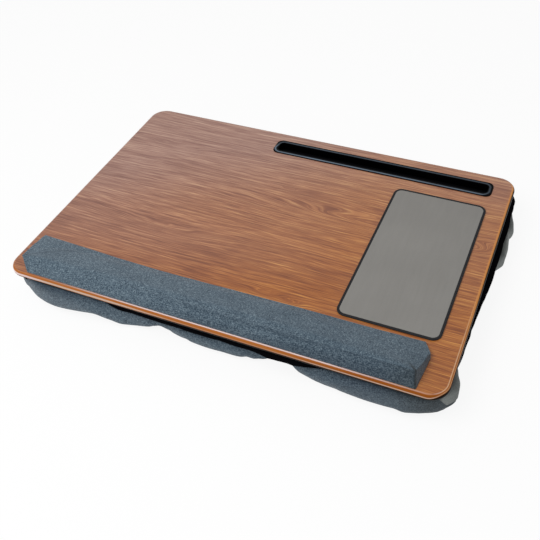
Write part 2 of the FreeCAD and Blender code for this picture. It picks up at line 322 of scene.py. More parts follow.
class Effects:
    """The shared effects: wood figure, painted light and shade along the board's edge, melange
    weave, lint and moulded grain.
    """

    def __init__(self) -> None:
        """Builds every effect once."""
        self.wood = self._wood_figure()
        self.rim = self._edge_stripes_and_painted_light()
        self.melange = self._melange()
        self.lint = self._lint()
        self.grain = self._moulded_grain()

    @staticmethod
    def _wood_figure() -> bpy.types.NodeTree:
        """Builds the figure of a slash-cut veneer: grain lines that bend round eyes.

        Returns:
            A group with Bands, Lines, Streaks, Fibres, Pores and Drift, each from 0 to 1.
        """
        inputs = {"Vector": None, "Top": BOARD_TOP}
        effect = Effect("wood figure", inputs, "Bands Lines Streaks Fibres Pores Drift")
        x, y, z = effect.split(effect.given["Vector"])
        across = (effect.given["Top"] - z) * (y * 14.0).clip(-1.0, 1.0) + y
        flat = effect.join(x, across)
        slow = effect.noise(flat, (2.6, 9.0, 1.0), 1.0, move=(3.1, 7.7, 0.0))
        quick = effect.noise(flat, (11.0, 46.0, 1.0))
        ripple = effect.noise(flat, (55.0, 110.0, 1.0), 1.0)
        level = slow * 0.030 + across
        level = quick * 0.0042 + level
        level = ripple * 0.0016 + level
        for eye in WOOD_EYES:
            scale = (1 / eye.length, 1 / eye.width, 1.0)
            move = (-eye.x / eye.length, -eye.y / eye.width, 0.0)
            reach = effect.length(effect.stretch(flat, scale, move))
            level = effect.math(Op.EXPONENT, reach * reach * -1.0) * eye.lift + level
        along = effect.join(x, level)
        fine = effect.noise(along, (3.2, 150.0, 1.0), rough=0.6)
        return effect.put(
            Bands=effect.noise(along, (1.7, 58.0, 1.0), rough=0.55),
            Lines=abs(fine - 0.5).span(0.07, 0.0),
            Streaks=effect.noise(along, (9.0, 330.0, 1.0), 3.0, 0.7),
            Fibres=effect.noise(along, (26.0, 900.0, 1.0), rough=0.6),
            Pores=effect.noise(along, (60.0, 1500.0, 1.0), 1.0).span(0.60, 0.74),
            Drift=effect.noise(flat, (2.2, 5.5, 1.0), 1.0, move=(9.0, 2.0, 0.0)),
        )

    @staticmethod
    def _edge_stripes_and_painted_light() -> bpy.types.NodeTree:
        """Builds the painted stripes along the board's front and right edges, where the film is
        wrapped round.

        Returns:
            A group with masks, each from 0 to 1: Upper and Lower, two painted highlight lines
            that stand for reflections of the lamp and the floor; Rim, the orange band between
            them, partly the stretched film's deeper colour and partly painted shade; and Shade,
            painted shade at its foot.
        """
        effect = Effect("edge stripes and painted light", {"Vector": None}, "Upper Lower Rim Shade")
        x, y, z = effect.split(effect.given["Vector"])
        rise = (z * (1 / EDGE_ROUND) + (1 - BOARD_TOP / EDGE_ROUND)).clip(-1.0, 1.0)
        arc = effect.math(Op.ARCCOSINE, rise) * EDGE_ROUND
        side = x.span(0.279, 0.295)
        shown = side.at_least(y.span(-0.172, -0.192))
        off_middle = abs(x - 0.03)
        front = off_middle.span(0.30, 0.10) * (1.0 - side)
        near = side * y.span(-0.02, -0.15, 0.0, 0.60)
        # Painted highlight line along the edge's upper round.
        upper = arc.span(0.0002, 0.0008) * (side * 0.0006 + arc).span(0.0026, 0.0012)
        upper = upper * front.at_least(near)
        wide = x.span(-0.02, -0.16, 0.0, 0.0008)
        later = side * y.span(-0.10, 0.02, 0.0031, 0.0041) + arc
        # Painted reflection line along the edge's lower round.
        lower = side * 0.0005 + (abs(later - 0.0064) - wide)
        lower = lower.span(0.0012, 0.0002) * (off_middle.span(0.03, 0.17) * 0.60 + 0.30)
        lower = lower * effect.blend(side, 1.0, y.span(0.02, -0.15, 0.05, 0.85))
        # Orange band: the stretched film's deeper colour, partly painted shade.
        stretched_and_shaded = (side * 0.0012 + arc).span(0.0008, 0.0028)
        # Painted shade at the foot of the edge.
        foot = (wide * -1.5 + later).span(0.0069, 0.0079)
        return effect.put(
            Upper=upper * shown, Lower=lower * shown, Rim=stretched_and_shaded * shown, Shade=foot * shown
        )

    @staticmethod
    def _melange() -> bpy.types.NodeTree:
        """Builds a plain weave of mixed dark and light yarns.

        Returns:
            A group with Tone and Slub, from 0 to 1, and the Height of the yarns.
        """
        inputs = {"Vector": None, "Place": None, "Pitch": 0.0011, "Speckle": 1.0}
        effect = Effect("melange weave", inputs, "Tone Slub Height")
        u, v = effect.split(effect.given["Vector"])[:2]
        turns = effect.math(Op.DIVIDE, 2 * math.pi, effect.given["Pitch"])
        over = effect.math(Op.SINE, u * turns) * effect.math(Op.SINE, v * turns) * 0.5 + 0.5
        uv = effect.join(u, v)
        yarn_u = effect.noise(uv, (190.0, 900.0, 1.0), 1.0)
        yarn_v = effect.noise(uv, (900.0, 190.0, 1.0), 1.0, move=(5.0, 9.0, 0.0))
        yarns = effect.blend(over, yarn_u, yarn_v)
        place = effect.given["Place"]
        speckle = effect.noise(place, (560.0, 1050.0, 1050.0), 2.0, 0.6)
        mottle = effect.noise(place, 400.0, 2.0, 0.6)
        cloud = effect.noise(place, 26.0, 1.0, 0.5)
        tone = mottle * 0.08 + (yarns * 0.36 + speckle * 0.56) - 0.5
        tone = tone * effect.given["Speckle"] + 0.5
        slub = effect.noise(place, (60.0, 60.0, 240.0))
        return effect.put(
            Tone=(cloud - 0.5) * 0.10 + tone,
            Slub=slub.span(0.60, 0.78),
            Height=over * 0.6 + yarns * 0.4,
        )

    @staticmethod
    def _lint() -> bpy.types.NodeTree:
        """Builds sparse lint and dust specks.

        Returns:
            A group with a Mask from 0 to 1.
        """
        effect = Effect("lint", {"Vector": None, "Scale": 90.0, "Amount": 0.3}, "Mask")
        place = effect.given["Vector"]
        inputs = {"Vector": place, "Scale": effect.given["Scale"]}
        specks = effect.out("ShaderNodeTexVoronoi", inputs, "Distance").span(0.16, 0.05)
        mask = specks * effect.noise(place, 14.0, 2.0, 0.6).span(0.45, 0.75)
        return effect.put(Mask=mask * effect.given["Amount"])

    @staticmethod
    def _moulded_grain() -> bpy.types.NodeTree:
        """Builds the fine spark-eroded grain of a moulded part.

        Returns:
            A group with the grain's Height and slow Smears, from 0 to 1.
        """
        effect = Effect("moulded grain", {"Vector": None, "Scale": 1400.0}, "Height Smears")
        place, scale = effect.given["Vector"], effect.given["Scale"]
        inputs = {"Vector": place, "Scale": scale}
        cells = effect.out("ShaderNodeTexVoronoi", inputs, "Distance", feature="SMOOTH_F1")
        height = cells * 0.5 + effect.noise(place, scale, 3.0)
        return effect.put(Height=height, Smears=effect.noise(place, 21.0, 3.0, 0.6))


class Finish(Tree):
    """A material under way: its tree, its principled shader and its coordinates."""

    def __init__(self, name: str, rough: float, **fixed: object) -> None:
        """Starts a material.

        Args:
            name: The material's name.
            rough: The plain roughness, where no pattern replaces it.
            fixed: Values for the shader's own sockets, with _ for a space.
        """
        self.material = bpy.data.materials.new(name)
        self.material.use_nodes = True
        super().__init__(self.material.node_tree)
        self.shader = self.tree.nodes["Principled BSDF"]
        self.shader.inputs["Roughness"].default_value = rough
        for title, value in fixed.items():
            self.shader.inputs[title.replace("_", " ")].default_value = value
        coordinates = self.outs(self.add("ShaderNodeTexCoord"))
        self.spot, self.uv = coordinates["Object"], coordinates["UV"]

    def feed(self, **values: Value) -> bpy.types.Material:
        """Links values to the shader's sockets, with _ for a space, and returns the material."""
        for title, value in values.items():
            self.tree.links.new(value.socket, self.shader.inputs[title.replace("_", " ")])
        return self.material

    def bump(
        self, height: Value, distance: float, strength: float = 1.0, **more: Value
    ) -> Value:
        """Adds a bump, over a Normal if one is given, and returns its normal."""
        inputs = {"Height": height, "Distance": distance, "Strength": strength, **more}
        return self.out("ShaderNodeBump", inputs)


# ---------------------------------------------------------------- finishes


@dataclass(frozen=True)
class WoodFilm:
    """Printed walnut film with a satin lacquer, pressed round the board's edge."""

    warm: tuple[Colour, ...] = (
        paint(114, 58, 24), paint(150, 86, 38), paint(180, 114, 54), paint(208, 148, 76)
    )
    # Cooler, greyer pink colours used towards the back and left, partly a painted reflection of the
    # pale surroundings.
    cool: tuple[Colour, ...] = (
        paint(122, 84, 74), paint(146, 106, 92), paint(170, 132, 116), paint(192, 156, 136)
    )
    places: tuple[float, ...] = (0.0, 0.34, 0.66, 1.0)
    warm_line: Colour = paint(108, 54, 28)
    # Grain line colour at the back and left, partly the same painted reflection.
    cool_line: Colour = paint(112, 72, 62)
    # Colours of the painted edge stripes: the orange band, partly the stretched film and partly
    # painted shade, darker towards the right; the glints, painted highlights; the foot, painted
    # shade.
    edge: Colour = paint(166, 98, 42)
    far_edge: Colour = paint(140, 74, 18)
    side_edge: Colour = paint(212, 138, 64)
    glint: Colour = paint(226, 206, 204)
    side_glint: Colour = paint(232, 200, 164)
    lower_glint: Colour = paint(200, 175, 158)
    foot: Colour = paint(12, 8, 6)

    def material(self, effects: Effects) -> bpy.types.Material:
        """Builds the film's material."""
        finish = Finish("wood film", 0.36, Coat_Roughness=0.12)
        place = finish.spot
        figure = finish.place(effects.wood, Vector=place, Top=BOARD_TOP)
        x, y, z = finish.split(place)
        tone = figure["Streaks"] * 0.47 + figure["Bands"] * 0.13
        tone = (figure["Fibres"] * 0.40 + tone).span(0.375, 0.635, smooth=False)
        tone = y.span(-0.02, -0.12) * x.span(0.07, -0.03) * -0.17 + tone
        tone = tone + y.span(0.02, 0.16, 0.0, 0.05)
        patch = y.span(-0.02, -0.08) * x.span(0.02, 0.09)
        patch = patch * x.span(0.17, 0.12) * y.span(-0.125, -0.10)
        tone = patch * -0.15 + tone
        warm = finish.ramp(tone, tuple(zip(self.places, self.warm)))
        cool = finish.ramp(tone, tuple(zip(self.places, self.cool)))
        # The mix from warm to cool towards the back and left is partly a painted reflection of the
        # pale surroundings at grazing angles and partly random drift in the print.
        away = y * 2.9 + 0.27 + x.span(0.12, -0.28, -0.14, 0.56, smooth=False)
        away = ((figure["Drift"] - 0.5) * 0.8 + away).clip(0.0, 1.0)
        colour = finish.mix(away, warm, cool)
        line = finish.mix(away, self.warm_line, self.cool_line)
        colour = finish.mix(figure["Lines"] * 0.30, colour, line)
        colour = finish.mix(figure["Pores"] * 0.26, colour, line)
        # Painted stripes along the front and right edges: highlight lines, the orange band and
        # painted shade at the foot.
        rim = finish.place(effects.rim, Vector=place)
        side = x.span(0.285, 0.297)
        edge = finish.mix(x.span(0.04, 0.24), self.edge, self.far_edge)
        beside = finish.mix(y.span(-0.05, -0.15), self.side_edge, self.edge)
        glint = finish.mix(side, self.glint, self.side_glint)
        lower_glint = finish.mix(x.span(-0.27, -0.22), glint, self.lower_glint)
        lower_glint = finish.mix(side, lower_glint, self.side_glint)
        colour = finish.mix(rim["Rim"] * 0.85, colour, finish.mix(side, edge, beside))
        colour = finish.mix(rim["Upper"], colour, glint)
        colour = finish.mix(rim["Lower"], colour, lower_glint)
        smears = finish.noise(place, 9.0, 3.0, 0.55)
        return finish.feed(
            # Painted shade at the edge's foot.
            Base_Color=finish.mix(rim["Shade"], colour, self.foot),
            Roughness=smears * 0.05 + (figure["Fibres"] * 0.10 + 0.30),
            Coat_Weight=z.span(0.0579, 0.0572, 0.05, 0.0),
            Specular_IOR_Level=z.span(0.0579, 0.0572, 0.42, 0.04),
            Normal=finish.bump(figure["Pores"] * -0.6 + figure["Streaks"], 0.00004),
        )


@dataclass(frozen=True)
class Fibreboard:
    """Raw medium-density fibreboard."""

    pale: Colour = paint(176, 146, 108)
    deep: Colour = paint(140, 110, 76)

    def material(self, effects: Effects) -> bpy.types.Material:
        """Builds the board core's material."""
        finish = Finish("fibreboard", 0.82)
        fibres = finish.noise(finish.spot, (900.0, 900.0, 2600.0), 3.0)
        tone = finish.blend(0.5, fibres, finish.noise(finish.spot, 190.0, 3.0, 0.6))
        return finish.feed(
            Base_Color=finish.mix(tone.span(0.3, 0.7), self.deep, self.pale),
            Normal=finish.bump(fibres, 0.0002),
        )


@dataclass(frozen=True)
class BackingSheet:
    """Dark resin paper that balances the film on the underside."""

    base: Colour = paint(64, 46, 36)
    worn: Colour = paint(96, 74, 58)

    def material(self, effects: Effects) -> bpy.types.Material:
        """Builds the backing sheet's material."""
        finish = Finish("backing sheet", 0.6)
        fibres = finish.noise(finish.spot, (40.0, 700.0, 700.0), 3.0)
        lint = finish.place(effects.lint, Vector=finish.spot, Scale=120.0, Amount=0.4)
        colour = finish.mix(fibres.span(0.35, 0.75), self.base, self.worn)
        return finish.feed(
            Base_Color=finish.mix(lint["Mask"], colour, self.worn),
            Roughness=fibres.span(0.2, 0.8, 0.5, 0.7),
            Normal=finish.bump(fibres, 0.00006),
        )


@dataclass(frozen=True)
class TrayPlastic:
    """Black moulded plastic with a fine grain and one painted highlight line along its rim."""

    base: Colour = paint(1, 1, 2)
    painted_highlight: Colour = paint(106, 118, 131)
    dust: Colour = paint(14, 15, 18)
    centre: Point = (0.102, 0.173, 0.0)
    half: Point = (0.1690, 0.0165, 0.0)
    corner: float = 0.0125
    # Where the painted highlight line runs: its inset from the outline, how much further out it
    # runs on the near side, and its half width.
    line: float = 0.0042
    shift: float = 0.0020
    width: float = 0.0019

    def material(self, effects: Effects) -> bpy.types.Material:
        """Builds the tray's material."""
        finish = Finish("tray plastic", 0.3, Specular_IOR_Level=0.03)
        place = finish.spot
        grain = finish.place(effects.grain, Vector=place, Scale=1500.0)
        x, y, z = finish.split(place)
        # Painted highlight line along the rim's top, stronger and further out on the near side and
        # fainter towards the right.
        facing = y.span(self.centre[1] + 0.006, self.centre[1] - 0.006)
        facing = facing * x.span(0.267, 0.257, 0.2, 1.0)
        inside = self._past(finish, x, y) + (facing * -self.shift + self.line)
        line = abs(inside).span(self.width, self.width * 0.3)
        line = line * (facing * 0.0009 + z).span(0.0580, 0.0587)
        line = line * (facing * 0.65 + 0.45) * x.span(0.26, 0.02, 0.75, 1.0)
        painted_highlight = line * grain["Smears"].span(0.3, 0.7, 0.65, 1.0)
        lint = finish.place(effects.lint, Vector=place, Scale=160.0, Amount=0.10)
        colour = finish.mix(lint["Mask"], self.base, self.dust)
        return finish.feed(
            Base_Color=finish.mix(painted_highlight, colour, self.painted_highlight),
            Roughness=grain["Smears"].span(0.3, 0.8, 0.34, 0.50),
            Normal=finish.bump(grain["Height"], 0.00004, 0.6),
        )

    def _past(self, finish: Finish, x: Value, y: Value) -> Value:
        """Works out how far a place is past the rim's rounded outline.

        Args:
            finish: The material under way.
            x: The place along the slot.
            y: The place across the slot.

        Returns:
            The distance in metres, below zero inside the outline.
        """
        out_x, out_y = (
            abs(value - self.centre[axis]) - (self.half[axis] - self.corner)
            for axis, value in enumerate((x, y))
        )
        far = finish.length(finish.join(out_x.at_least(0.0), out_y.at_least(0.0)))
        return far + out_x.at_least(out_y).at_most(0.0) - self.corner


@dataclass(frozen=True)
class PadFace:
    """Smooth grey coated cloth with a faint up and down nap."""

    low: Colour = paint(118, 116, 112)
    high: Colour = paint(136, 134, 130)

    def material(self, effects: Effects) -> bpy.types.Material:
        """Builds the mouse pad face's material."""
        finish = Finish("pad face", 0.62, Specular_IOR_Level=0.35)
        place = finish.spot
        nap = finish.noise(place, (260.0, 22.0, 22.0))
        cloth = finish.place(
            effects.melange, Vector=place, Place=place, Pitch=0.0007, Speckle=0.5
        )
        broad = finish.noise(place, 11.0, 2.0, 0.5)
        tone = cloth["Tone"] * 0.5 + (nap * 0.14 + broad * 0.36)
        return finish.feed(
            Base_Color=finish.mix(tone.span(0.2, 0.8), self.low, self.high),
            Roughness=broad.span(0.3, 0.7, 0.56, 0.68),
            Normal=finish.bump(cloth["Height"], 0.00006, 0.6),
        )


@dataclass(frozen=True)
class Thread:
    """Overlock thread or yarn: a dark ply that shows its twist."""

    name: str
    base: Colour
    light: Colour
    twist: float = 1500.0

    def material(self, effects: Effects) -> bpy.types.Material:
        """Builds the thread's material."""
        finish = Finish(self.name, 0.6, Specular_IOR_Level=0.3)
        x, y, z = finish.split(finish.spot)
        slant = z * 1.7 + (x + y)
        ply = finish.math(Op.SINE, slant * (2 * math.pi * self.twist))
        tone = ply * 0.25 + finish.noise(finish.spot, 2400.0, 2.0, 0.6)
        return finish.feed(
            Base_Color=finish.mix(tone.span(0.3, 0.9), self.base, self.light),
            Normal=finish.bump(tone, 0.00008),
        )


@dataclass(frozen=True)
class Rubber:
    """Black open-cell natural rubber, or a clear-edged glue line with a little dust."""

    name: str
    base: Colour
    high: Colour
    cell: float = 900.0

    def material(self, effects: Effects) -> bpy.types.Material:
        """Builds the rubber's material."""
        finish = Finish(self.name, 0.75)
        inputs = {"Vector": finish.spot, "Scale": self.cell}
        holes = finish.out("ShaderNodeTexVoronoi", inputs, "Distance")
        return finish.feed(
            Base_Color=finish.mix(holes.span(0.1, 0.6), self.base, self.high),
            Normal=finish.bump(holes, 0.0002),
        )


@dataclass(frozen=True)
class Melange:
    """Woven melange upholstery cloth of dark and light yarns."""

    name: str
    dark: Colour
    middle: Colour
    light: Colour
    pitch: float = 0.0011
    speckle: float = 1.0
    fold: float = 0.0006
    sheen: float = 0.18
    gloss: float = 0.25
    shadow: Colour = paint(22, 25, 23)
    far_shadow: Colour = paint(22, 25, 23)

    def material(self, effects: Effects) -> bpy.types.Material:
        """Builds the cloth's material."""
        finish = Finish(
            self.name, 0.88, Specular_IOR_Level=self.gloss, Sheen_Weight=self.sheen,
            Sheen_Roughness=0.5,
        )
        place = finish.spot
        cloth = finish.place(
            effects.melange, Vector=finish.uv, Place=place, Pitch=self.pitch, Speckle=self.speckle
        )
        stops = ((0.30, self.dark), (0.50, self.middle), (0.72, self.light))
        colour = finish.ramp(cloth["Tone"], stops)
        colour = finish.mix(cloth["Slub"] * 0.12, colour, self.light)
        lint = finish.place(effects.lint, Vector=place, Scale=130.0, Amount=0.12)
        colour = finish.mix(lint["Mask"], colour, self.light)
        # Painted shade: the cloth darkens towards a shadow colour by each vertex's shade value,
        # bluish, and warmer at the right end.
        shade = finish.out("ShaderNodeAttribute", key="Fac", attribute_name=SHADE)
        across = finish.split(place)[0]
        shadow = finish.mix(across.span(0.21, 0.27), self.shadow, self.far_shadow)
        weave = finish.bump(cloth["Height"], 0.00022, 0.8)
        waves = finish.noise(place, 42.0, 2.0, 0.5)
        return finish.feed(
            Base_Color=finish.mix(shade, colour, shadow),
            Roughness=cloth["Tone"].span(0.2, 0.8, 0.92, 0.80),
            Normal=finish.bump(waves, self.fold, Normal=weave),
        )


# ---------------------------------------------------------------- modelling helpers


@contextmanager
def editing(piece: bpy.types.Object, whole: bool = False) -> Iterator[None]:
    """Opens a piece in edit mode, with everything else deselected, and closes it again.

    Args:
        piece: The piece, in object mode.
        whole: Whether all of its mesh is selected first.
    """
    pick(piece)
    bpy.ops.object.mode_set(mode="EDIT")
    if whole:
        bpy.ops.mesh.select_all(action="SELECT")
    yield
    bpy.ops.object.mode_set(mode="OBJECT")


def pick(*pieces: bpy.types.Object) -> None:
    """Selects these pieces alone and makes the first one active."""
    bpy.ops.object.select_all(action="DESELECT")
    for piece in pieces:
        piece.select_set(True)
    bpy.context.view_layer.objects.active = pieces[0]


def read(items: bpy.types.bpy_prop_collection, name: str) -> np.ndarray:
    """Reads one vector of each item as an array with three columns."""
    flat = np.zeros(len(items) * 3)
    items.foreach_get(name, flat)
    return flat.reshape(-1, 3)


def coords(piece: bpy.types.Object) -> np.ndarray:
    """Returns a piece's vertices as an array of points."""
    return read(piece.data.vertices, "co")


def normals(piece: bpy.types.Object) -> np.ndarray:
    """Returns a piece's vertex normals."""
    return read(piece.data.vertex_normals, "vector")


def set_coords(piece: bpy.types.Object, points: np.ndarray) -> None:
    """Moves a piece's vertices to these points."""
    piece.data.vertices.foreach_set("co", points.ravel())
    piece.data.update()


def bell(distance: np.ndarray, width: float) -> np.ndarray:
    """Falls smoothly from 1 at no distance towards 0 past a width."""
    return np.exp(-((distance / width) ** 2))


def rise(value: np.ndarray, start: float, width: float) -> np.ndarray:
    """Rises evenly from 0 at a start to 1 a width later, and stays there."""
    return np.clip((value - start) / width, 0, 1)


def choose_faces(piece: bpy.types.Object, rule: Callable[[Vector, Vector], bool]) -> None:
    """Selects only the faces whose centre and normal pass a rule."""
    data = piece.data
    data.vertices.foreach_set("select", [False] * len(data.vertices))
    data.edges.foreach_set("select", [False] * len(data.edges))
    for face in data.polygons:
        face.select = rule(face.center, face.normal)


def choose_edges(piece: bpy.types.Object, rule: Callable[[Vector], bool]) -> None:
    """Selects only the edges whose run from end to end passes a rule."""
    with editing(piece):
        bpy.ops.mesh.select_all(action="DESELECT")
    for edge in piece.data.edges:
        a, b = (piece.data.vertices[i].co for i in edge.vertices)
        edge.select = rule(a - b)


def part(body: bpy.types.Object, name: str) -> bpy.types.Object:
    """Parts the selected faces from a body as a piece of their own."""
    with editing(body):
        bpy.ops.mesh.separate(type="SELECTED")
    piece = next(o for o in bpy.context.selected_objects if o != body)
    piece.name = name
    return piece


def weld(piece: bpy.types.Object, distance: float) -> None:
    """Merges vertices closer than a distance and turns the faces outwards."""
    with editing(piece, whole=True):
        bpy.ops.mesh.remove_doubles(threshold=distance)
        bpy.ops.mesh.normals_make_consistent(inside=False)


def apply(piece: bpy.types.Object, kind: str, **settings: object) -> None:
    """Adds a modifier with these settings and applies it."""
    modifier = piece.modifiers.new(kind.lower(), kind)
    for name, value in settings.items():
        setattr(modifier, name, value)
    pick(piece)
    bpy.ops.object.modifier_apply(modifier=modifier.name)


def new_cube(name: str, low: Point, high: Point) -> bpy.types.Object:
    """Adds a box between two corners, with its place in its mesh.

    Args:
        name: The piece's name.
        low: The lowest corner.
        high: The highest corner.

    Returns:
        The new piece.
    """
    bpy.ops.object.select_all(action="DESELECT")
    bpy.ops.mesh.primitive_cube_add(size=1.0)
    piece = bpy.context.object
    piece.name = name
    a, b = Vector(low), Vector(high)
    piece.location = (a + b) / 2
    piece.scale = b - a
    bpy.ops.object.transform_apply(location=True, rotation=True, scale=True)
    return piece


def new_object(name: str, data: bpy.types.ID) -> bpy.types.Object:
    """Adds an object for a curve, a lamp or a camera to the scene."""
    item = bpy.data.objects.new(name, data)
    bpy.context.scene.collection.objects.link(item)
    return item


def remesh(piece: bpy.types.Object, voxel: float) -> None:
    """Rebuilds a closed piece from voxels of a size."""
    apply(piece, "REMESH", mode="VOXEL", voxel_size=voxel, use_smooth_shade=True)


def inflate(
    piece: bpy.types.Object,
    pressure: float,
    cap: float,
    held: Weights | None = None,
    grow: float = 0.0,
    frames: int = 20,
) -> None:
    """Swells a closed piece as cloth under pressure and limits how far a point moves.

    Args:
        piece: The remeshed piece.
        pressure: The pressure inside.
        cap: The furthest that a point may move, in metres.
        held: Gives each point's hold from 0, free, to 1, pinned.
        grow: How much larger the cloth is cut than the form, as a share.
        frames: How many frames the cloth runs.
    """
    rest = coords(piece)
    modifier = piece.modifiers.new("swell", "CLOTH")
    settings = modifier.settings
    settings.quality = 5
    settings.mass = 0.25
    settings.tension_stiffness = settings.compression_stiffness = 12.0
    settings.shear_stiffness = 6.0
    settings.bending_stiffness = 0.6
    settings.use_pressure = True
    settings.uniform_pressure_force = pressure
    settings.effector_weights.gravity = 0.0
    settings.shrink_min = -grow
    if held is not None:
        group = piece.vertex_groups.new(name="held")
        for index, weight in enumerate(held(rest)):
            if weight > 0.001:
                group.add([index], float(weight), "REPLACE")
        settings.vertex_group_mass = "held"
    scene = bpy.context.scene
    for step in range(1, frames + 1):
        scene.frame_set(step)
    pick(piece)
    bpy.ops.object.modifier_apply(modifier=modifier.name)
    scene.frame_set(1)
    move = coords(piece) - rest
    reach = np.linalg.norm(move, axis=1, keepdims=True)
    bend = cap * np.tanh(reach / cap) / np.maximum(reach, 1e-9)
    set_coords(piece, rest + move * bend)


def darken(piece: bpy.types.Object, shade: np.ndarray) -> None:
    """Keeps each vertex's painted shade, from 0 to 1: how much it lies in a fold, under an edge or
    away from the light.
    """
    layer = piece.data.attributes.new(SHADE, "FLOAT", "POINT")
    layer.data.foreach_set("value", np.clip(shade, 0.0, 1.0))


def lay_uv(piece: bpy.types.Object) -> None:
    """Gives a piece a UV map in metres, projected from six sides."""
    with editing(piece, whole=True):
        bpy.ops.uv.cube_project(cube_size=1.0, correct_aspect=False)


def smooth(piece: bpy.types.Object, degrees: float = 180.0) -> None:
    """Shades a piece smooth, with edges sharper than an angle kept."""
    pick(piece)
    if degrees >= 180:
        bpy.ops.object.shade_smooth()
    else:
        bpy.ops.object.shade_smooth_by_angle(angle=math.radians(degrees))


def settle(
    piece: bpy.types.Object,
    material: bpy.types.Material,
    nodes: Sequence[str] = (),
    fill: float | None = None,
) -> None:
    """Gives a finished piece its material and its place in the frame, and reports it.

    A padded piece gets its UV map and its smooth shading here as well.

    Args:
        piece: The finished piece.
        material: Its material.
        nodes: The solids that it stands for.
        fill: How tight a padded piece is filled, or None for any other piece; only whether it is
            None is used.
    """
    if fill is not None:
        lay_uv(piece)
        smooth(piece)
    piece.data.materials.clear()
    piece.data.materials.append(material)
    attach(piece, BODY)
    if nodes:
        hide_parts(*nodes)
    log.info("%s: %d faces, stands for %s", piece.name, len(piece.data.polygons), list(nodes))


def dress(node: str, material: bpy.types.Material) -> None:
    """Gives a solid its material and reports it."""
    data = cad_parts[node].data
    data.materials.clear()
    data.materials.append(material)
    log.info("%s: dressed with %s", node, material.name)


# ---------------------------------------------------------------- sub-assemblies


@dataclass
class Board:
    """The film-wrapped board: film, core and backing sheet."""

    film: WoodFilm = WoodFilm()
    core: Fibreboard = Fibreboard()
    backing: BackingSheet = BackingSheet()

    def build(self, effects: Effects) -> None:
        """Dresses the board's solids."""
        dress("wood_film", self.film.material(effects))
        dress("board_core", self.core.material(effects))
        dress("backing_sheet", self.backing.material(effects))


@dataclass
class MediaSlot:
    """The moulded tray in the board's back."""

    plastic: TrayPlastic = TrayPlastic()

    def build(self, effects: Effects) -> None:
        """Dresses the tray."""
        dress("slot_tray", self.plastic.material(effects))


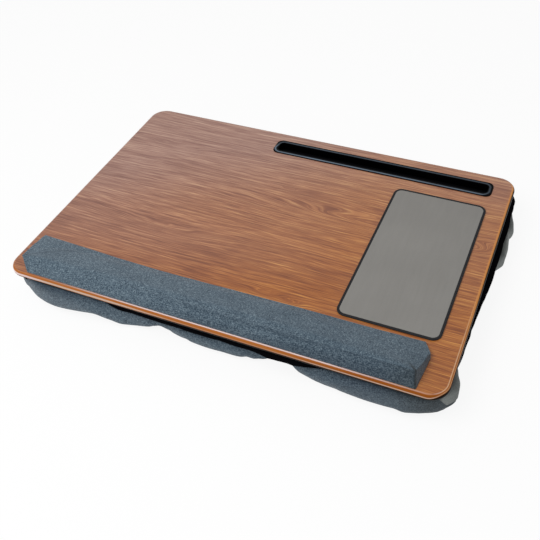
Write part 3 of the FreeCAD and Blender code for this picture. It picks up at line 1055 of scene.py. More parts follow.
@dataclass
class MousePad:
    """The mouse pad: face, rubber base and an overlocked border."""

    band: float = 3.3 * MM
    height: float = 0.9 * MM
    pitch: float = 1.45 * MM
    thread_width: float = 0.52 * MM
    corner: float = 12.0 * MM

    def build(self, effects: Effects) -> None:
        """Dresses the pad and sews its border."""
        dress("mouse_pad_face", PadFace().material(effects))
        rubber = Rubber("pad rubber", paint(16, 16, 17), paint(40, 40, 42))
        dress("mouse_pad_base", rubber.material(effects))
        glue = Rubber("adhesive", paint(150, 146, 132), paint(186, 182, 168), 400.0)
        dress("mouse_pad_adhesive", glue.material(effects))
        black = Thread("border thread", paint(2, 3, 5), paint(13, 16, 25))
        self._border(black.material(effects))

    def _border(self, material: bpy.types.Material) -> None:
        """Builds the rounded border and the thread loops that cover it."""
        low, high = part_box("mouse_pad_binding")
        bed = self._bed(low, high)
        threads = self._threads(low, high)
        pick(bed, threads)
        bpy.ops.object.join()
        smooth(bed, 60)
        settle(bed, material, ["mouse_pad_binding"])

    def _path(self, low: Vector, high: Vector, inset: float, z: float) -> bpy.types.Object:
        """Draws the closed rounded rectangle that the border follows.

        Args:
            low: The border's lowest corner.
            high: The border's highest corner.
            inset: How far inside the border's outline the line runs.
            z: The line's height.

        Returns:
            The line as a curve.
        """
        radius = self.corner - inset
        left, right = low.x + inset, high.x - inset
        front, back = low.y + inset, high.y - inset
        data = bpy.data.curves.new("border line", "CURVE")
        data.dimensions = "3D"
        data.resolution_u = 12
        spline = data.splines.new("BEZIER")
        spline.bezier_points.add(7)
        spline.use_cyclic_u = True
        corners = (
            (right - radius, front + radius, (0, -1), (1, 0)),
            (right - radius, back - radius, (1, 0), (0, 1)),
            (left + radius, back - radius, (0, 1), (-1, 0)),
            (left + radius, front + radius, (-1, 0), (0, -1)),
        )
        ends = (
            (x, y, way, other, turn)
            for x, y, start, end in corners
            for way, other, turn in ((start, end, 1), (end, start, -1))
        )
        for point, (x, y, way, other, turn) in zip(spline.bezier_points, ends):
            lean = Vector((*other, 0)) * (radius * ROUND_PULL * turn)
            point.co = Vector((x + way[0] * radius, y + way[1] * radius, z))
            point.handle_left_type = point.handle_right_type = "FREE"
            point.handle_right = point.co + lean
            point.handle_left = point.co - lean
        return new_object("border line", data)

    def _bed(self, low: Vector, high: Vector) -> bpy.types.Object:
        """Builds the border's rounded bed as a swept half round."""
        line = self._path(low, high, self.band / 2, low.z + self.height / 2)
        line.data.bevel_depth = self.band / 2
        line.data.bevel_resolution = 4
        pick(line)
        bpy.ops.object.convert(target="MESH")
        line.name = "mouse_pad_border"
        points = coords(line)
        middle = low.z + self.height / 2
        points[:, 2] = middle + (points[:, 2] - middle) * (self.height / self.band)
        set_coords(line, points)
        return line

    def _threads(self, low: Vector, high: Vector) -> bpy.types.Object:
        """Builds one slanted thread loop and repeats it round the border."""
        line = self._path(low, high, self.band / 2, low.z + self.height / 2)
        straight = 2 * (high.x - low.x - 2 * self.corner) + 2 * (high.y - low.y - 2 * self.corner)
        length = straight + 2 * math.pi * (self.corner - self.band / 2)
        count = round(length / self.pitch)
        step = length / count
        bpy.ops.object.select_all(action="DESELECT")
        bpy.ops.mesh.primitive_cylinder_add(
            vertices=6, radius=self.thread_width / 2, depth=self.band, end_fill_type="NOTHING"
        )
        loop = bpy.context.object
        loop.rotation_euler = (math.pi / 2, 0.0, 0.0)
        bpy.ops.object.transform_apply(location=True, rotation=True, scale=True)
        with editing(loop, whole=True):
            bpy.ops.mesh.subdivide(number_cuts=4)
        points = coords(loop)
        share = points[:, 1] / (self.band / 2)
        points[:, 0] += share * self.pitch * 0.55
        lift = np.sqrt(np.clip(1 - (share * 0.93) ** 2, 0, 1))
        points[:, 2] += lift * (self.height / 2) - self.thread_width * 0.12
        points[:, 0] += step / 2
        set_coords(loop, points)
        apply(
            loop, "ARRAY", count=count, use_relative_offset=False, use_constant_offset=True,
            constant_offset_displace=(step, 0.0, 0.0),
        )
        apply(loop, "CURVE", object=line, deform_axis="POS_X")
        bpy.data.objects.remove(line)
        return loop


@dataclass
class WristRest:
    """The padded wrist rest: a foam wedge in folded cloth, glued on the board's front."""

    front_left: Point = (-0.266, -0.207, 0.0)
    front_right: Point = (0.2650, -0.207, 0.0)
    crest_left: Point = (-0.2786, -0.194, 0.0172)
    crest_right: Point = (0.2608, -0.194, 0.0174)
    back_left: Point = (-0.2856, -0.1352, 0.0035)
    apex_right: Point = (0.2682, -0.1560, 0.0030)
    back_right: Point = (0.2570, -0.1352, 0.0035)
    block_low: Point = (-0.290, -0.2072, BOARD_TOP + 0.3 * MM)
    block_high: Point = (0.2690, -0.1352, 0.0790)
    cell: float = 4.6 * MM
    puff: float = 2.0 * MM
    crisp: float = 4.5 * MM
    fold: float = 1.3 * MM
    flap_depth: float = 0.9 * MM
    flap_width: float = 14 * MM
    crease_width: float = 1.7 * MM
    crease_shades: tuple[float, float] = (0.97, 0.34)
    bow_from: float = -0.190
    bow_over: float = 0.050

    def build(self, effects: Effects, cloth: bpy.types.Material) -> None:
        """Builds the cover, which stands for all that lies inside it."""
        cover = self._wedge()
        inflate(cover, 3.0, self.puff, self._held)
        self._fold_corner(cover)
        self._bow(cover)
        apply(cover, "SUBSURF", levels=1, render_levels=1)
        self._shade(cover)
        covered = ["wrist_rest_cover", "wrist_rest_foam", "wrist_rest_base", "wrist_rest_adhesive"]
        settle(cover, cloth, covered, 0.8)

    def _at(self, point: Point) -> Vector:
        """Puts a point that is measured from the board's top into the frame."""
        return Vector((point[0], point[1], point[2] + BOARD_TOP))

    def _wedge(self) -> bpy.types.Object:
        """Cuts the wedge from a block and rounds its edges."""
        cover = new_cube("wrist_rest_cloth", self.block_low, self.block_high)
        cuts = (
            (self.crest_left, self.crest_right, self.back_left, (0, 0, 1)),
            (self.front_left, self.front_right, self.crest_left, (0, -1, 0)),
            (self.front_left, self.crest_left, self.back_left, (-1, 0, 0)),
            (self.front_right, self.crest_right, self.apex_right, (1, 0, 0)),
        )
        for a, b, c, outward in cuts:
            p, q, r = self._at(a), self._at(b), self._at(c)
            self._cut(cover, p, (q - p).cross(r - p), Vector(outward))
        p, q = self._at(self.apex_right), self._at(self.back_right)
        self._cut(cover, p, (q - p).cross(Vector((0, 0, 1))), Vector((1, 1, 0)))
        self._slice(cover)
        weld(cover, 0.5 * MM)
        apply(cover, "SUBSURF", subdivision_type="SIMPLE", levels=1, render_levels=1)
        apply(cover, "SMOOTH", factor=0.5, iterations=1)
        return cover

    def _slice(self, cover: bpy.types.Object) -> None:
        """Cuts the wedge's sides into a fine grid, so that the cloth can bend."""
        low = np.min(coords(cover), axis=0)
        high = np.max(coords(cover), axis=0)
        with editing(cover):
            for axis in range(3):
                normal = Vector([float(i == axis) for i in range(3)])
                count = round((high[axis] - low[axis]) / self.cell)
                for place in np.linspace(low[axis], high[axis], count + 1)[1:-1]:
                    bpy.ops.mesh.select_all(action="SELECT")
                    bpy.ops.mesh.bisect(plane_co=normal * float(place), plane_no=normal)

    @staticmethod
    def _cut(cover: bpy.types.Object, point: Vector, normal: Vector, outward: Vector) -> None:
        """Cuts away what lies beyond a plane and closes the cut."""
        if normal.dot(outward) < 0:
            normal = -normal
        with editing(cover, whole=True):
            bpy.ops.mesh.bisect(
                plane_co=point, plane_no=normal.normalized(), use_fill=True, clear_outer=True
            )

    def _off(self, points: np.ndarray, start: Point, end: Point) -> np.ndarray:
        """Measures how each point lies off a straight edge.

        Args:
            points: The points, in the frame.
            start: One end of the edge, measured from the board's top.
            end: The other end of the edge.

        Returns:
            The vector from the nearest spot on the edge to each point.
        """
        a, b = np.array(self._at(start)), np.array(self._at(end))
        share = np.clip(((points - a) @ (b - a)) / ((b - a) @ (b - a)), 0, 1)
        return points - (a + share[:, None] * (b - a))

    def _held(self, points: np.ndarray) -> np.ndarray:
        """Holds the glued underside, the back edge and the folded ends."""
        hold = np.clip(1 - (points[:, 2] - BOARD_TOP - 0.6 * MM) / (1.5 * MM), 0, 1)
        edges = (
            (self.front_left, self.crest_left),
            (self.crest_left, self.back_left),
            (self.back_left, self.back_right),
            (self.back_right, self.apex_right),
            (self.apex_right, self.crest_right),
            (self.crest_right, self.front_right),
        )
        for start, end in edges:
            far = np.linalg.norm(self._off(points, start, end), axis=1)
            hold = np.maximum(hold, bell(far, self.crisp))
        return np.where(hold > 0.05, hold, 0.0)

    def _folds(self) -> tuple[tuple[Point, Point, float], ...]:
        """Returns the fold line of each front corner and the way that its flap faces."""
        return (
            (self.front_right, self.crest_right, 1.0),
            (self.front_left, self.crest_left, -1.0),
        )

    def _fold_corner(self, cover: bpy.types.Object) -> None:
        """Sinks the fold lines at the front corners and sets the folded flaps back."""
        points = coords(cover)
        normal = normals(cover)
        for foot, crest, way in self._folds():
            off = self._off(points, foot, crest)
            near = np.linalg.norm(off, axis=1)
            depth = self.fold * bell(near, self.fold)
            flap = (way * normal[:, 0] > 0.35) & (way * off[:, 0] > 0)
            depth += np.where(flap, self.flap_depth * bell(near, self.flap_width), 0.0)
            points = points - normal * depth[:, None]
        points[:, 2] = np.maximum(points[:, 2], BOARD_TOP + 0.15 * MM)
        set_coords(cover, points)

    def _bow(self, cover: bpy.types.Object) -> None:
        """Draws the back edge forwards in a slight bow, as it was glued."""
        points = coords(cover)
        table = np.array(REST_BOW) * MM
        share = rise(points[:, 1], self.bow_from, self.bow_over)
        points[:, 1] -= share * np.interp(points[:, 0], table[:, 0], table[:, 1])
        set_coords(cover, points)

    def _shade(self, cover: bpy.types.Object) -> None:
        """Paints shade: darkens the fold lines, the faces that turn from the light, and the front
        face and top more towards the right.
        """
        points = coords(cover)
        normal = normals(cover)
        x = points[:, 0]
        clear = 1 - np.interp(x, (-0.10, 0.0, 0.26), (0.0, 0.06, 0.17))
        forwards = rise(-normal[:, 1], 0.45, 0.3)
        clear *= 1 - forwards * np.interp(x, (-0.25, -0.12, 0.03, 0.25), (0.0, 0.04, 0.26, 0.46))
        clear *= 1 - 0.16 * rise(normal[:, 0], 0.45, 0.3)
        for (foot, crest, way), strength in zip(self._folds(), self.crease_shades):
            off = self._off(points, foot, crest)
            outward = np.array((way, -1.0, 0.0)) / math.sqrt(2)
            off = off - (off @ outward)[:, None] * outward
            clear *= 1 - strength * bell(np.linalg.norm(off, axis=1), self.crease_width)
        darken(cover, 1 - clear)


@dataclass(frozen=True)
class Seam:
    """A straight stretch of a seam: a plane that parts the end panel from the cover."""

    point: Point
    normal: Point

    def side(self, points: np.ndarray) -> np.ndarray:
        """Returns each point's distance from the plane, positive on the end panel's side."""
        normal = np.array(self.normal) / np.linalg.norm(self.normal)
        return (points - np.array(self.point)) @ normal


@dataclass(frozen=True)
class Section:
    """One cross-section of a bolster: its place along X, and where its four sides lie."""

    x: float
    front: float
    back: float
    low: float
    high: float


def sections(*rows: tuple[float, float, float, float, float]) -> tuple[Section, ...]:
    """Turns rows of millimetres into sections."""
    return tuple(Section(*row) for row in rows)


@dataclass
class Bolster:
    """One lobed bolster: a stuffed cover, tucked into lobes, with an end panel at each end."""

    name: str
    sections: tuple[Section, ...]
    tucks: tuple[float, ...]
    seams: tuple[Seam, ...]
    fill: float
    reach: float
    end_depth: float
    end_power: float
    roof: float
    end_shape: tuple[tuple[float, float], ...]
    # Painted shade table: place along X, how much the cloth darkens towards its top under the
    # board, and how much it darkens all over.
    shade: tuple[tuple[float, float, float], ...]
    topside: float = 7.0
    underside: float = 4.0
    voxel: float = 5.0 * MM
    swell: float = 3.0 * MM
    grow: float = 0.02
    slack: float = 2.0 * MM
    ease: int = 11
    cut_from: float = 0.262
    sink_from: float = 0.255
    seam_depth: float = 1.3 * MM
    seam_width: float = 2.2 * MM
    hold_width: float = 5 * MM
    shade_from: float = 14 * MM
    shade_over: float = 32 * MM
    crease: float = 11 * MM
    crease_shade: float = 0.45
    end_margin: float = 15 * MM

    def build(self, main: bpy.types.Material, end: bpy.types.Material) -> None:
        """Builds the cover and its end panels."""
        body = self._form()
        remesh(body, self.voxel)
        inflate(body, 4.0, self.swell, self._held, self.grow)
        apply(body, "SUBSURF", levels=1, render_levels=1)
        self._shape_ends(body)
        self._press(body)
        panels = self._part_ends(body)
        self._sink_seams(body)
        self._sink_seams(panels)
        self._shade(body, self.reach - self.end_margin)
        self._shade(panels, self.reach)
        covered = [f"{self.name}_bolster_cover", f"{self.name}_bolster_filling"]
        settle(body, main, covered, self.fill)
        settle(panels, end, [f"{self.name}_end_panels"], self.fill)

    def _form(self) -> bpy.types.Object:
        """Shapes a round bar into the bolster's lobes, a little small, so that it may swell.

        Returns:
            The closed form of the bolster.
        """
        bpy.ops.object.select_all(action="DESELECT")
        bpy.ops.mesh.primitive_cylinder_add(
            vertices=48, radius=1.0, depth=2.0, end_fill_type="TRIFAN", rotation=(0, math.pi / 2, 0)
        )
        body = bpy.context.object
        body.name = f"{self.name}_bolster_cloth"
        bpy.ops.object.transform_apply(location=True, rotation=True, scale=True)
        with editing(body):
            bpy.ops.mesh.select_mode(type="EDGE")
        choose_edges(body, lambda run: abs(run.x) > 1.0)
        with editing(body):
            bpy.ops.mesh.subdivide(number_cuts=95)
        unit = coords(body)
        x = (self.reach - self.slack) * np.sin(unit[:, 0] * math.pi / 2)
        table = np.array([(s.x, s.front, s.back, s.low, s.high) for s in self.sections]) * MM
        grid = np.arange(-self.reach - 0.02, self.reach + 0.02, 1 * MM)
        kernel = np.hanning(self.ease) / np.hanning(self.ease).sum()
        front, back, low, high = (
            np.interp(x, grid, np.convolve(np.interp(grid, table[:, 0], side), kernel, "same"))
            for side in (table + self.slack * np.array([0, 1, -1, 1, -1])).T[1:]
        )
        past = rise(np.abs(x), self.reach - self.end_depth, self.end_depth)
        narrow = (1 - past**self.end_power) ** (1 / self.end_power)
        radius = np.hypot(unit[:, 1], unit[:, 2])
        way = unit[:, 1:] / np.maximum(radius, 1e-6)[:, None]
        squareness = np.where(way[:, 1] > 0, self.topside, self.underside)[:, None]
        across, upward = (np.sign(way) * np.abs(way) ** (2 / squareness)).T
        points = np.empty_like(unit)
        points[:, 0] = x
        points[:, 1] = (front + back) / 2 + (back - front) / 2 * across * radius * narrow
        points[:, 2] = (low + high) / 2 + (high - low) / 2 * upward * radius * narrow**0.5
        set_coords(body, points)
        weld(body, 0.0001)
        return body

    def _shape_ends(self, body: bpy.types.Object) -> None:
        """Lets the ends bulge and crease as far as their shape says."""
        points = coords(body)
        table = np.array(self.end_shape) * MM
        far = np.clip((np.abs(points[:, 0]) - self.reach + 0.060) / 0.050, 0, 1)
        shift = np.interp(points[:, 1], table[:, 0], table[:, 1])
        points[:, 0] += np.sign(points[:, 0]) * far * far * shift
        set_coords(body, points)

    def _held(self, points: np.ndarray) -> np.ndarray:
        """Holds the tucks between the lobes."""
        hold = np.zeros(len(points))
        for tuck in self.tucks:
            hold = np.maximum(hold, bell(points[:, 0] - tuck, self.hold_width))
        return np.where(hold > 0.25, hold, 0.0)

    def _press(self, piece: bpy.types.Object) -> None:
        """Flattens the bolster where it rests on the floor and under the board."""
        points = coords(piece)
        points[:, 2] = np.clip(points[:, 2], 0.0, self.roof)
        set_coords(piece, points)

    def _shade(self, piece: bpy.types.Object, reach: float) -> None:
        """Paints shade on the cloth where it tucks in under the board, along its top, and all over
        where the table says, most at the front bolster's right end.

        Args:
            piece: The cover or the end panels.
            reach: How far out the table is read; further out, its value there holds.
        """
        x, _, z = coords(piece).T
        x = np.minimum(x, reach)
        place, under, whole = np.array(self.shade).T
        height = rise(z, self.shade_from, self.shade_over) ** 1.5
        crease = np.clip((z - self.roof + self.crease) / self.crease, 0, 1)
        clear = (1 - height * np.interp(x, place, under)) * (1 - self.crease_shade * crease)
        darken(piece, 1 - clear * (1 - np.interp(x, place, whole)))

    def _ends(self) -> list[tuple[Seam, ...]]:
        """Returns the seams of the right end and, mirrored, of the left end."""
        mirrored = tuple(
            Seam((-s.point[0], s.point[1], s.point[2]), (-s.normal[0], s.normal[1], s.normal[2]))
            for s in self.seams
        )
        return [self.seams, mirrored]

    def _part_ends(self, body: bpy.types.Object) -> bpy.types.Object:
        """Cuts the cover along the seams and parts the end panels from it.

        Args:
            body: The swollen cover with its ends.

        Returns:
            The two end panels as one piece.
        """
        for way, seams in zip((1, -1), self._ends()):
            for seam in seams:
                choose_faces(body, lambda centre, _: way * centre.x > self.cut_from)
                with editing(body):
                    bpy.ops.mesh.bisect(plane_co=seam.point, plane_no=Vector(seam.normal))
        ends = self._ends()

        def on_panel(centre: Vector, _: Vector) -> bool:
            """Tells whether a face lies on an end panel."""
            spot = np.array(centre)[None, :]
            return any(all(seam.side(spot)[0] > 0 for seam in seams) for seams in ends)

        choose_faces(body, on_panel)
        return part(body, f"{self.name}_end_cloth")

    def _sink_seams(self, piece: bpy.types.Object) -> None:
        """Draws the cloth in along the seams, so that they read as sewn."""
        points = coords(piece)
        normal = normals(piece)
        for seams in self._ends():
            way = 1 if seams[0].point[0] > 0 else -1
            sides = np.array([seam.side(points) for seam in seams])
            off = np.abs(sides.min(axis=0))
            depth = self.seam_depth * bell(off, self.seam_width)
            depth = np.where(way * points[:, 0] > self.sink_from, depth, 0.0)
            points = points - normal * depth[:, None]
        points[:, 2] = np.maximum(points[:, 2], 0.0)
        set_coords(piece, points)


@dataclass
class CoreCushion:
    """The black cushion under the board: band, top panel and the valley between the bolsters."""

    half_length: float = 298.6 * MM
    half_depth: float = 205.0 * MM
    corner: float = 22.0 * MM
    low: float = 33.0 * MM
    high: float = 48.0 * MM
    voxel: float = 4.5 * MM
    swell: float = 6.0 * MM
    lowest: float = 28.5 * MM
    top_edge: float = 1.2 * MM
    valley_drop: float = 9 * MM

    def build(self, black: bpy.types.Material) -> None:
        """Builds the closed cushion and parts it into its three panels."""
        body = self._block()
        inflate(body, 3.0, self.swell, self._held, 0.01)
        apply(body, "SUBSURF", levels=1, render_levels=1)
        apply(body, "SMOOTH", factor=0.5, iterations=4)
        self._bulge(body)
        choose_faces(body, lambda c, n: c.z > self.high - self.top_edge and n.z > 0.5)
        top = part(body, "cushion_top_cloth")
        choose_faces(body, lambda c, n: n.z < -0.55 and c.z < self.high - self.valley_drop)
        valley = part(body, "valley_cloth")
        body.name = "gusset_band_cloth"
        settle(body, black, ["gusset_band", "core_filling"], 0.6)
        settle(top, black, ["cushion_top_panel"], 0.6)
        settle(valley, black, ["valley_panel"], 0.5)

    def _block(self) -> bpy.types.Object:
        """Builds the cushion's rounded block and remeshes it."""
        low = (-self.half_length, -self.half_depth, self.low)
        high = (self.half_length, self.half_depth, self.high)
        body = new_cube("gusset_band_cloth", low, high)
        choose_edges(body, lambda run: abs(run.z) > 1 * MM)
        with editing(body):
            bpy.ops.mesh.bevel(offset=self.corner, segments=8, affect="EDGES")
        remesh(body, self.voxel)
        return body

    def _held(self, points: np.ndarray) -> np.ndarray:
        """Holds the top, which lies against the board."""
        return np.clip((points[:, 2] - self.high + 3 * MM) / (2 * MM), 0, 1)

    def _bulge(self, body: bpy.types.Object) -> None:
        """Lets the band stand out as far as its two lines say and keeps the top flat."""
        points = coords(body)
        x, y, z = points.T
        height = np.clip((self.high - z) / (self.high - self.low), 0, 1)
        belly = np.sin(height * math.pi * 0.62) ** 1.2
        side = rise(np.abs(x), 0.250, 0.040) * belly
        front = rise(-y, 0.150, 0.040) * belly
        sideways = self._shortfall(y, np.abs(x), BAND_SIDE, side > 0.7)
        forwards = self._shortfall(x, -y, BAND_FRONT, front > 0.7)
        points[:, 0] += np.sign(x) * side * sideways
        points[:, 1] -= front * forwards
        points[:, 2] = np.clip(points[:, 2], self.lowest, self.high)
        set_coords(body, points)

    @staticmethod
    def _shortfall(
        along: np.ndarray, out: np.ndarray, line: Sequence[tuple[float, float]], near: np.ndarray
    ) -> np.ndarray:
        """Measures how far a side falls short of a line.

        Args:
            along: Each point's place along the side.
            out: Each point's distance outwards.
            line: How far out the side should reach at places along it, in millimetres.
            near: Which points lie on the side's belly.

        Returns:
            The shortfall at each point.
        """
        table = np.array(line) * MM
        step, window = 8 * MM, 6 * MM
        places = np.arange(table[0, 0], table[-1, 0], step)
        reach = [out[near & (np.abs(along - place) < window)].max() for place in places]
        short = np.interp(places, table[:, 0], table[:, 1]) - np.array(reach)
        return np.interp(along, places, short)


# ---------------------------------------------------------------- studio


@dataclass
class Studio:
    """The camera, the lamp, the pale surroundings and the floor."""

    eye: Point = (0.34903, -0.71846, 0.73987)
    azimuth: float = 26.34
    elevation: float = 44.09
    roll: float = -4.05
    lens: float = 50.0
    room_light: float = 0.56
    side_fall: float = 0.38
    lamp_power: float = 13.0
    lamp_size: float = 0.85
    lamp_place: Point = (-0.38, -0.72, 1.36)
    floor_half: float = 3.0

    def build(self) -> None:
        """Sets up everything round the object."""
        self._camera()
        self._lamp()
        self._room()
        self._floor()

    def _camera(self) -> None:
        """Makes the scene's camera."""
        data = bpy.data.cameras.new("camera")
        data.lens = self.lens
        data.sensor_width = 36.0
        data.clip_start, data.clip_end = 0.01, 50.0
        camera = new_object("camera", data)
        az, el, roll = (math.radians(a) for a in (self.azimuth, self.elevation, self.roll))
        back = Vector((math.sin(az) * math.cos(el), -math.cos(az) * math.cos(el), math.sin(el)))
        right = Vector((math.cos(az), math.sin(az), 0.0))
        up = back.cross(right)
        across = right * math.cos(roll) + up * math.sin(roll)
        above = up * math.cos(roll) - right * math.sin(roll)
        turn = Matrix((across, above, back)).transposed().to_4x4()
        camera.matrix_world = Matrix.Translation(self.eye) @ turn
        bpy.context.scene.camera = camera

    def _lamp(self) -> None:
        """Hangs one large soft lamp above, a little to the front and left."""
        data = bpy.data.lights.new("softbox", "AREA")
        data.energy = self.lamp_power
        data.shape = "SQUARE"
        data.size = self.lamp_size
        lamp = new_object("softbox", data)
        lamp.location = self.lamp_place
        aim = Vector((0.0, -0.05, 0.05)) - Vector(self.lamp_place)
        lamp.rotation_euler = aim.to_track_quat("-Z", "Y").to_euler()

    def _room(self) -> None:
        """Makes the surroundings white to look at and softer as a light."""
        world = bpy.data.worlds.new("room")
        bpy.context.scene.world = world
        world.use_nodes = True
        tree = Tree(world.node_tree)
        light = world.node_tree.nodes["Background"]
        seen = tree.seen()[1]
        way = tree.outs(tree.add("ShaderNodeTexCoord"))["Generated"]
        sideways, _, upward = tree.split(way)
        soft = (sideways * -self.side_fall + 1.0) * upward.span(-0.2, 0.3, 0.55, 1.0)
        strength = tree.blend(seen, soft * self.room_light, 1.0)
        light.inputs["Color"].default_value = (1.0, 1.0, 1.0, 1.0)
        world.node_tree.links.new(strength.socket, light.inputs["Strength"])

    def _floor(self) -> None:
        """Lays a pale floor that keeps a soft shadow."""
        bpy.ops.object.select_all(action="DESELECT")
        bpy.ops.mesh.primitive_plane_add(size=2 * self.floor_half)
        floor = bpy.context.object
        floor.name = "floor"
        finish = Finish("floor", 0.9, Base_Color=(0.9, 0.9, 0.9, 1.0), Specular_IOR_Level=0.0)
        path, seen = finish.seen()
        lit = Value(finish, finish.shader.outputs[0])
        glow = finish.out("ShaderNodeEmission", {"Strength": 1.0})
        mix = finish.out("ShaderNodeMixShader", {0: seen * 0.9, 1: lit, 2: glow})
        below = finish.outs(finish.add("ShaderNodeNewGeometry"))["Backfacing"]
        clear = finish.out("ShaderNodeBsdfTransparent")
        inputs = {0: below * path["Is Camera Ray"], 1: mix, 2: clear}
        whole = finish.out("ShaderNodeMixShader", inputs)
        out = finish.tree.nodes["Material Output"]
        finish.tree.links.new(whole.socket, out.inputs["Surface"])
        floor.data.materials.append(finish.material)


# ---------------------------------------------------------------- the whole


REST_BOW = (
    (-286, 0.8), (-268, 1.6), (-233, 2.8), (-200, 3.8), (-167, 5.4), (-135, 5.9), (-104, 6.7),
    (-75, 6.5), (-46, 5.8), (-17, 5.6), (11, 4.6), (39, 4.4), (66, 4.0), (93, 3.3), (145, 3.2),
    (195, 3.0), (220, 2.3), (244, 1.8), (257, 1.4), (269, 1.0),
)
BAND_SIDE = (
    (-182, 291.5), (-160, 298.8), (-132, 300.6), (-113, 301.0), (-92, 302.2), (-71, 303.2),
    (-50, 304.0), (-27, 305.8), (-4, 307.2), (20, 308.6), (60, 308.4), (148, 306.2),
    (176, 304.9), (190, 304.2),
)
BAND_FRONT = (
    (-282, 202.0), (-150, 203.0), (-125, 207.5), (66, 207.5), (84, 211.0),
    (118, 211.0), (132, 207.5), (152, 203.0), (200, 200.0), (250, 194.0), (282, 186.0),
)
FRONT_SEAMS = (
    Seam((0.2908, -0.2070, 0.0500), (0.70, 0.70, 0.67)),
    Seam((0.3042, -0.1830, 0.0148), (0.30, -0.10, 0.95)),
    Seam((0.2908, -0.1130, 0.0500), (0.70, -0.70, 0.67)),
    Seam((0.2860, -0.1600, 0.0500), (1.00, 0.00, 0.00)),
)
FRONT_SECTIONS = sections(
    (-308, -202, -111, 0, 51), (-290, -203.2, -111, 0, 52), (-281, -201.4, -111, 0, 53),
    (-272, -204, -111, 0, 53), (-262, -208.4, -111, 0, 53), (-252, -211.6, -111, 0, 53),
    (-241, -214, -111, 0, 53), (-226, -215.4, -111, 0, 53), (-198, -214, -111, 0, 53),
    (-171, -212.4, -111, 0, 51), (-157, -211.5, -111, 0, 49), (-143, -210.2, -112, 0, 46.5),
    (-130, -209.2, -112, 0, 44), (-117, -205.5, -113, 0, 42), (-105, -203.5, -114, 1, 40),
    (-93, -202.3, -115, 2.3, 37), (-84, -199.5, -118, 3, 35), (-80, -195, -120, 6.5, 34),
    (-75, -196.5, -118, 5.3, 34), (-68, -197, -115, 3.3, 34), (-52, -199.5, -112, 1, 34),
    (-38, -201.5, -112, 0, 34), (-24, -203.4, -111, 0, 34), (-11, -204.3, -111, 0, 34),
    (3, -205, -111, 0, 34), (15, -204.2, -111, 0, 34), (27, -204.9, -111, 0, 34),
    (39, -204.6, -112, 0, 34), (51, -202.2, -112, 0, 34), (62, -199.8, -113, 1, 34),
    (73, -195.5, -114, 3, 34), (82, -190, -116, 6, 33), (97, -176, -122, 13, 31),
    (103, -187.5, -118, 9, 33), (108, -196.2, -116, 5, 34), (117, -198.8, -115, 3, 37),
    (124, -200, -113, 1.3, 39), (137, -202.7, -112, 0, 43), (149, -205.1, -112, 0, 46),
    (161, -206.6, -112, 0, 48), (185, -209.3, -111, 0, 51), (208, -210.8, -111, 0, 53),
    (225, -211, -111, 0, 53), (241, -210.8, -111, 0, 53), (252, -211.2, -111, 0, 53),
    (262, -207.8, -111, 0, 53), (272, -204.8, -111, 0, 53), (281, -203.3, -111, 0, 53),
    (290, -204.1, -111, 0, 52), (308, -203.6, -111, 0, 51),
)
REAR_SEAMS = (
    Seam((0.2910, 0.0380, 0.0340), (0.82, 0.58, 0.10)),
    Seam((0.3080, 0.1200, 0.0050), (0.40, 0.00, 0.92)),
    Seam((0.2910, 0.2030, 0.0340), (0.82, -0.58, 0.10)),
    Seam((0.2900, 0.1200, 0.0340), (1.00, 0.00, 0.00)),
)
REAR_SECTIONS = sections(
    (-315, 37, 202, 0, 36), (-250, 36, 203, 0, 37), (-180, 36, 204, 0, 37),
    (-125, 39, 201, 3, 36), (-104, 47, 193, 11, 32), (-83, 39, 201, 3, 36), (0, 36, 204, 0, 37),
    (83, 39, 201, 3, 36), (104, 47, 193, 11, 32), (125, 39, 201, 3, 36), (180, 36, 204, 0, 37),
    (250, 36, 203, 0, 37), (315, 37, 202, 0, 36),
)
REAR_END_SHAPE = (
    (43, -8.5), (52, -6.4), (58, -5.8), (66, -3.4), (79, 2.4), (91, 1.9), (104, 0.9),
    (117, -1.2), (126, -2.6), (131, -2.4), (140, 1.2), (153, -1.2), (162, -4.3), (173, -6.6),
    (190, -7.4),
)
FRONT_END_SHAPE = (
    (-200, -2.2), (-191, -2.6), (-181, -1.9), (-171, 1.4), (-162, 0.2), (-153, -4.0),
    (-144, -6.4), (-135, -9.2), (-126, -7.0), (-111, -5.5),
)
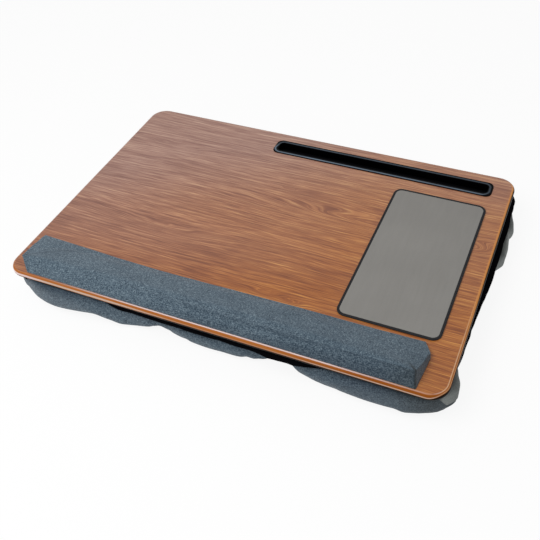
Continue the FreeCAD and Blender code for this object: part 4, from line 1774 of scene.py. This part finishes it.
# Painted shade on the front bolster's cloth, by place along X: darkening towards the top under the
# board, and all over, strongest at the right end.
FRONT_SHADE = (
    (-0.230, 0.36, 0.0), (-0.150, 0.38, 0.0), (0.0, 0.50, 0.08), (0.190, 0.45, 0.20),
    (0.250, 0.46, 0.32), (0.270, 0.40, 0.50), (0.284, 0.30, 0.66), (0.2915, 0.20, 0.62),
    (0.2935, 0.12, 0.0), (0.2990, 0.12, 0.05), (0.3080, 0.10, 0.38),
)
FRONT_BOLSTER = Bolster(
    name="front", sections=FRONT_SECTIONS, tucks=(-0.081, 0.097), seams=FRONT_SEAMS, fill=0.75,
    reach=0.3065, end_depth=0.046, end_power=2.3, roof=0.0476, end_shape=FRONT_END_SHAPE,
    shade=FRONT_SHADE,
)
REAR_BOLSTER = Bolster(
    name="rear", sections=REAR_SECTIONS, tucks=(-0.104, 0.104), seams=REAR_SEAMS, fill=0.7,
    reach=0.315, end_depth=0.050, end_power=4.5, roof=0.0345, end_shape=REAR_END_SHAPE,
    # Painted shade: the rear bolster darkens towards its top under the board, most over its right
    # end panel.
    shade=((0.280, 0.40, 0.0), (0.300, 1.0, 0.0)),
)


def main() -> None:
    """Builds the lap desk in order."""
    logging.basicConfig(level=logging.INFO, format="%(name)s: %(message)s")
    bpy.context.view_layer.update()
    bpy.context.scene.view_settings.view_transform = "Standard"
    Studio().build()
    effects = Effects()
    grey = Melange(
        "grey melange", paint(33, 48, 61), paint(75, 92, 105), paint(127, 144, 154), speckle=1.65,
        fold=0.0004, shadow=paint(15, 28, 43), far_shadow=paint(25, 27, 23),
    )
    cloth = grey.material(effects)
    plain = Melange(
        "end cloth", paint(104, 109, 108), paint(132, 137, 135), paint(158, 162, 159),
        speckle=0.8, fold=0.0009,
    )
    dark = Melange(
        "black cloth", paint(3, 3, 5), paint(9, 9, 12), paint(16, 16, 20),
        pitch=0.0009, speckle=0.6, fold=0.001, sheen=0.0, gloss=0.0,
    )
    Board().build(effects)
    MediaSlot().build(effects)
    MousePad().build(effects)
    WristRest().build(effects, cloth)
    CoreCushion().build(dark.material(effects))
    ends = plain.material(effects)
    FRONT_BOLSTER.build(cloth, ends)
    REAR_BOLSTER.build(cloth, ends)
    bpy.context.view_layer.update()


if __name__ == "__main__":
    main()
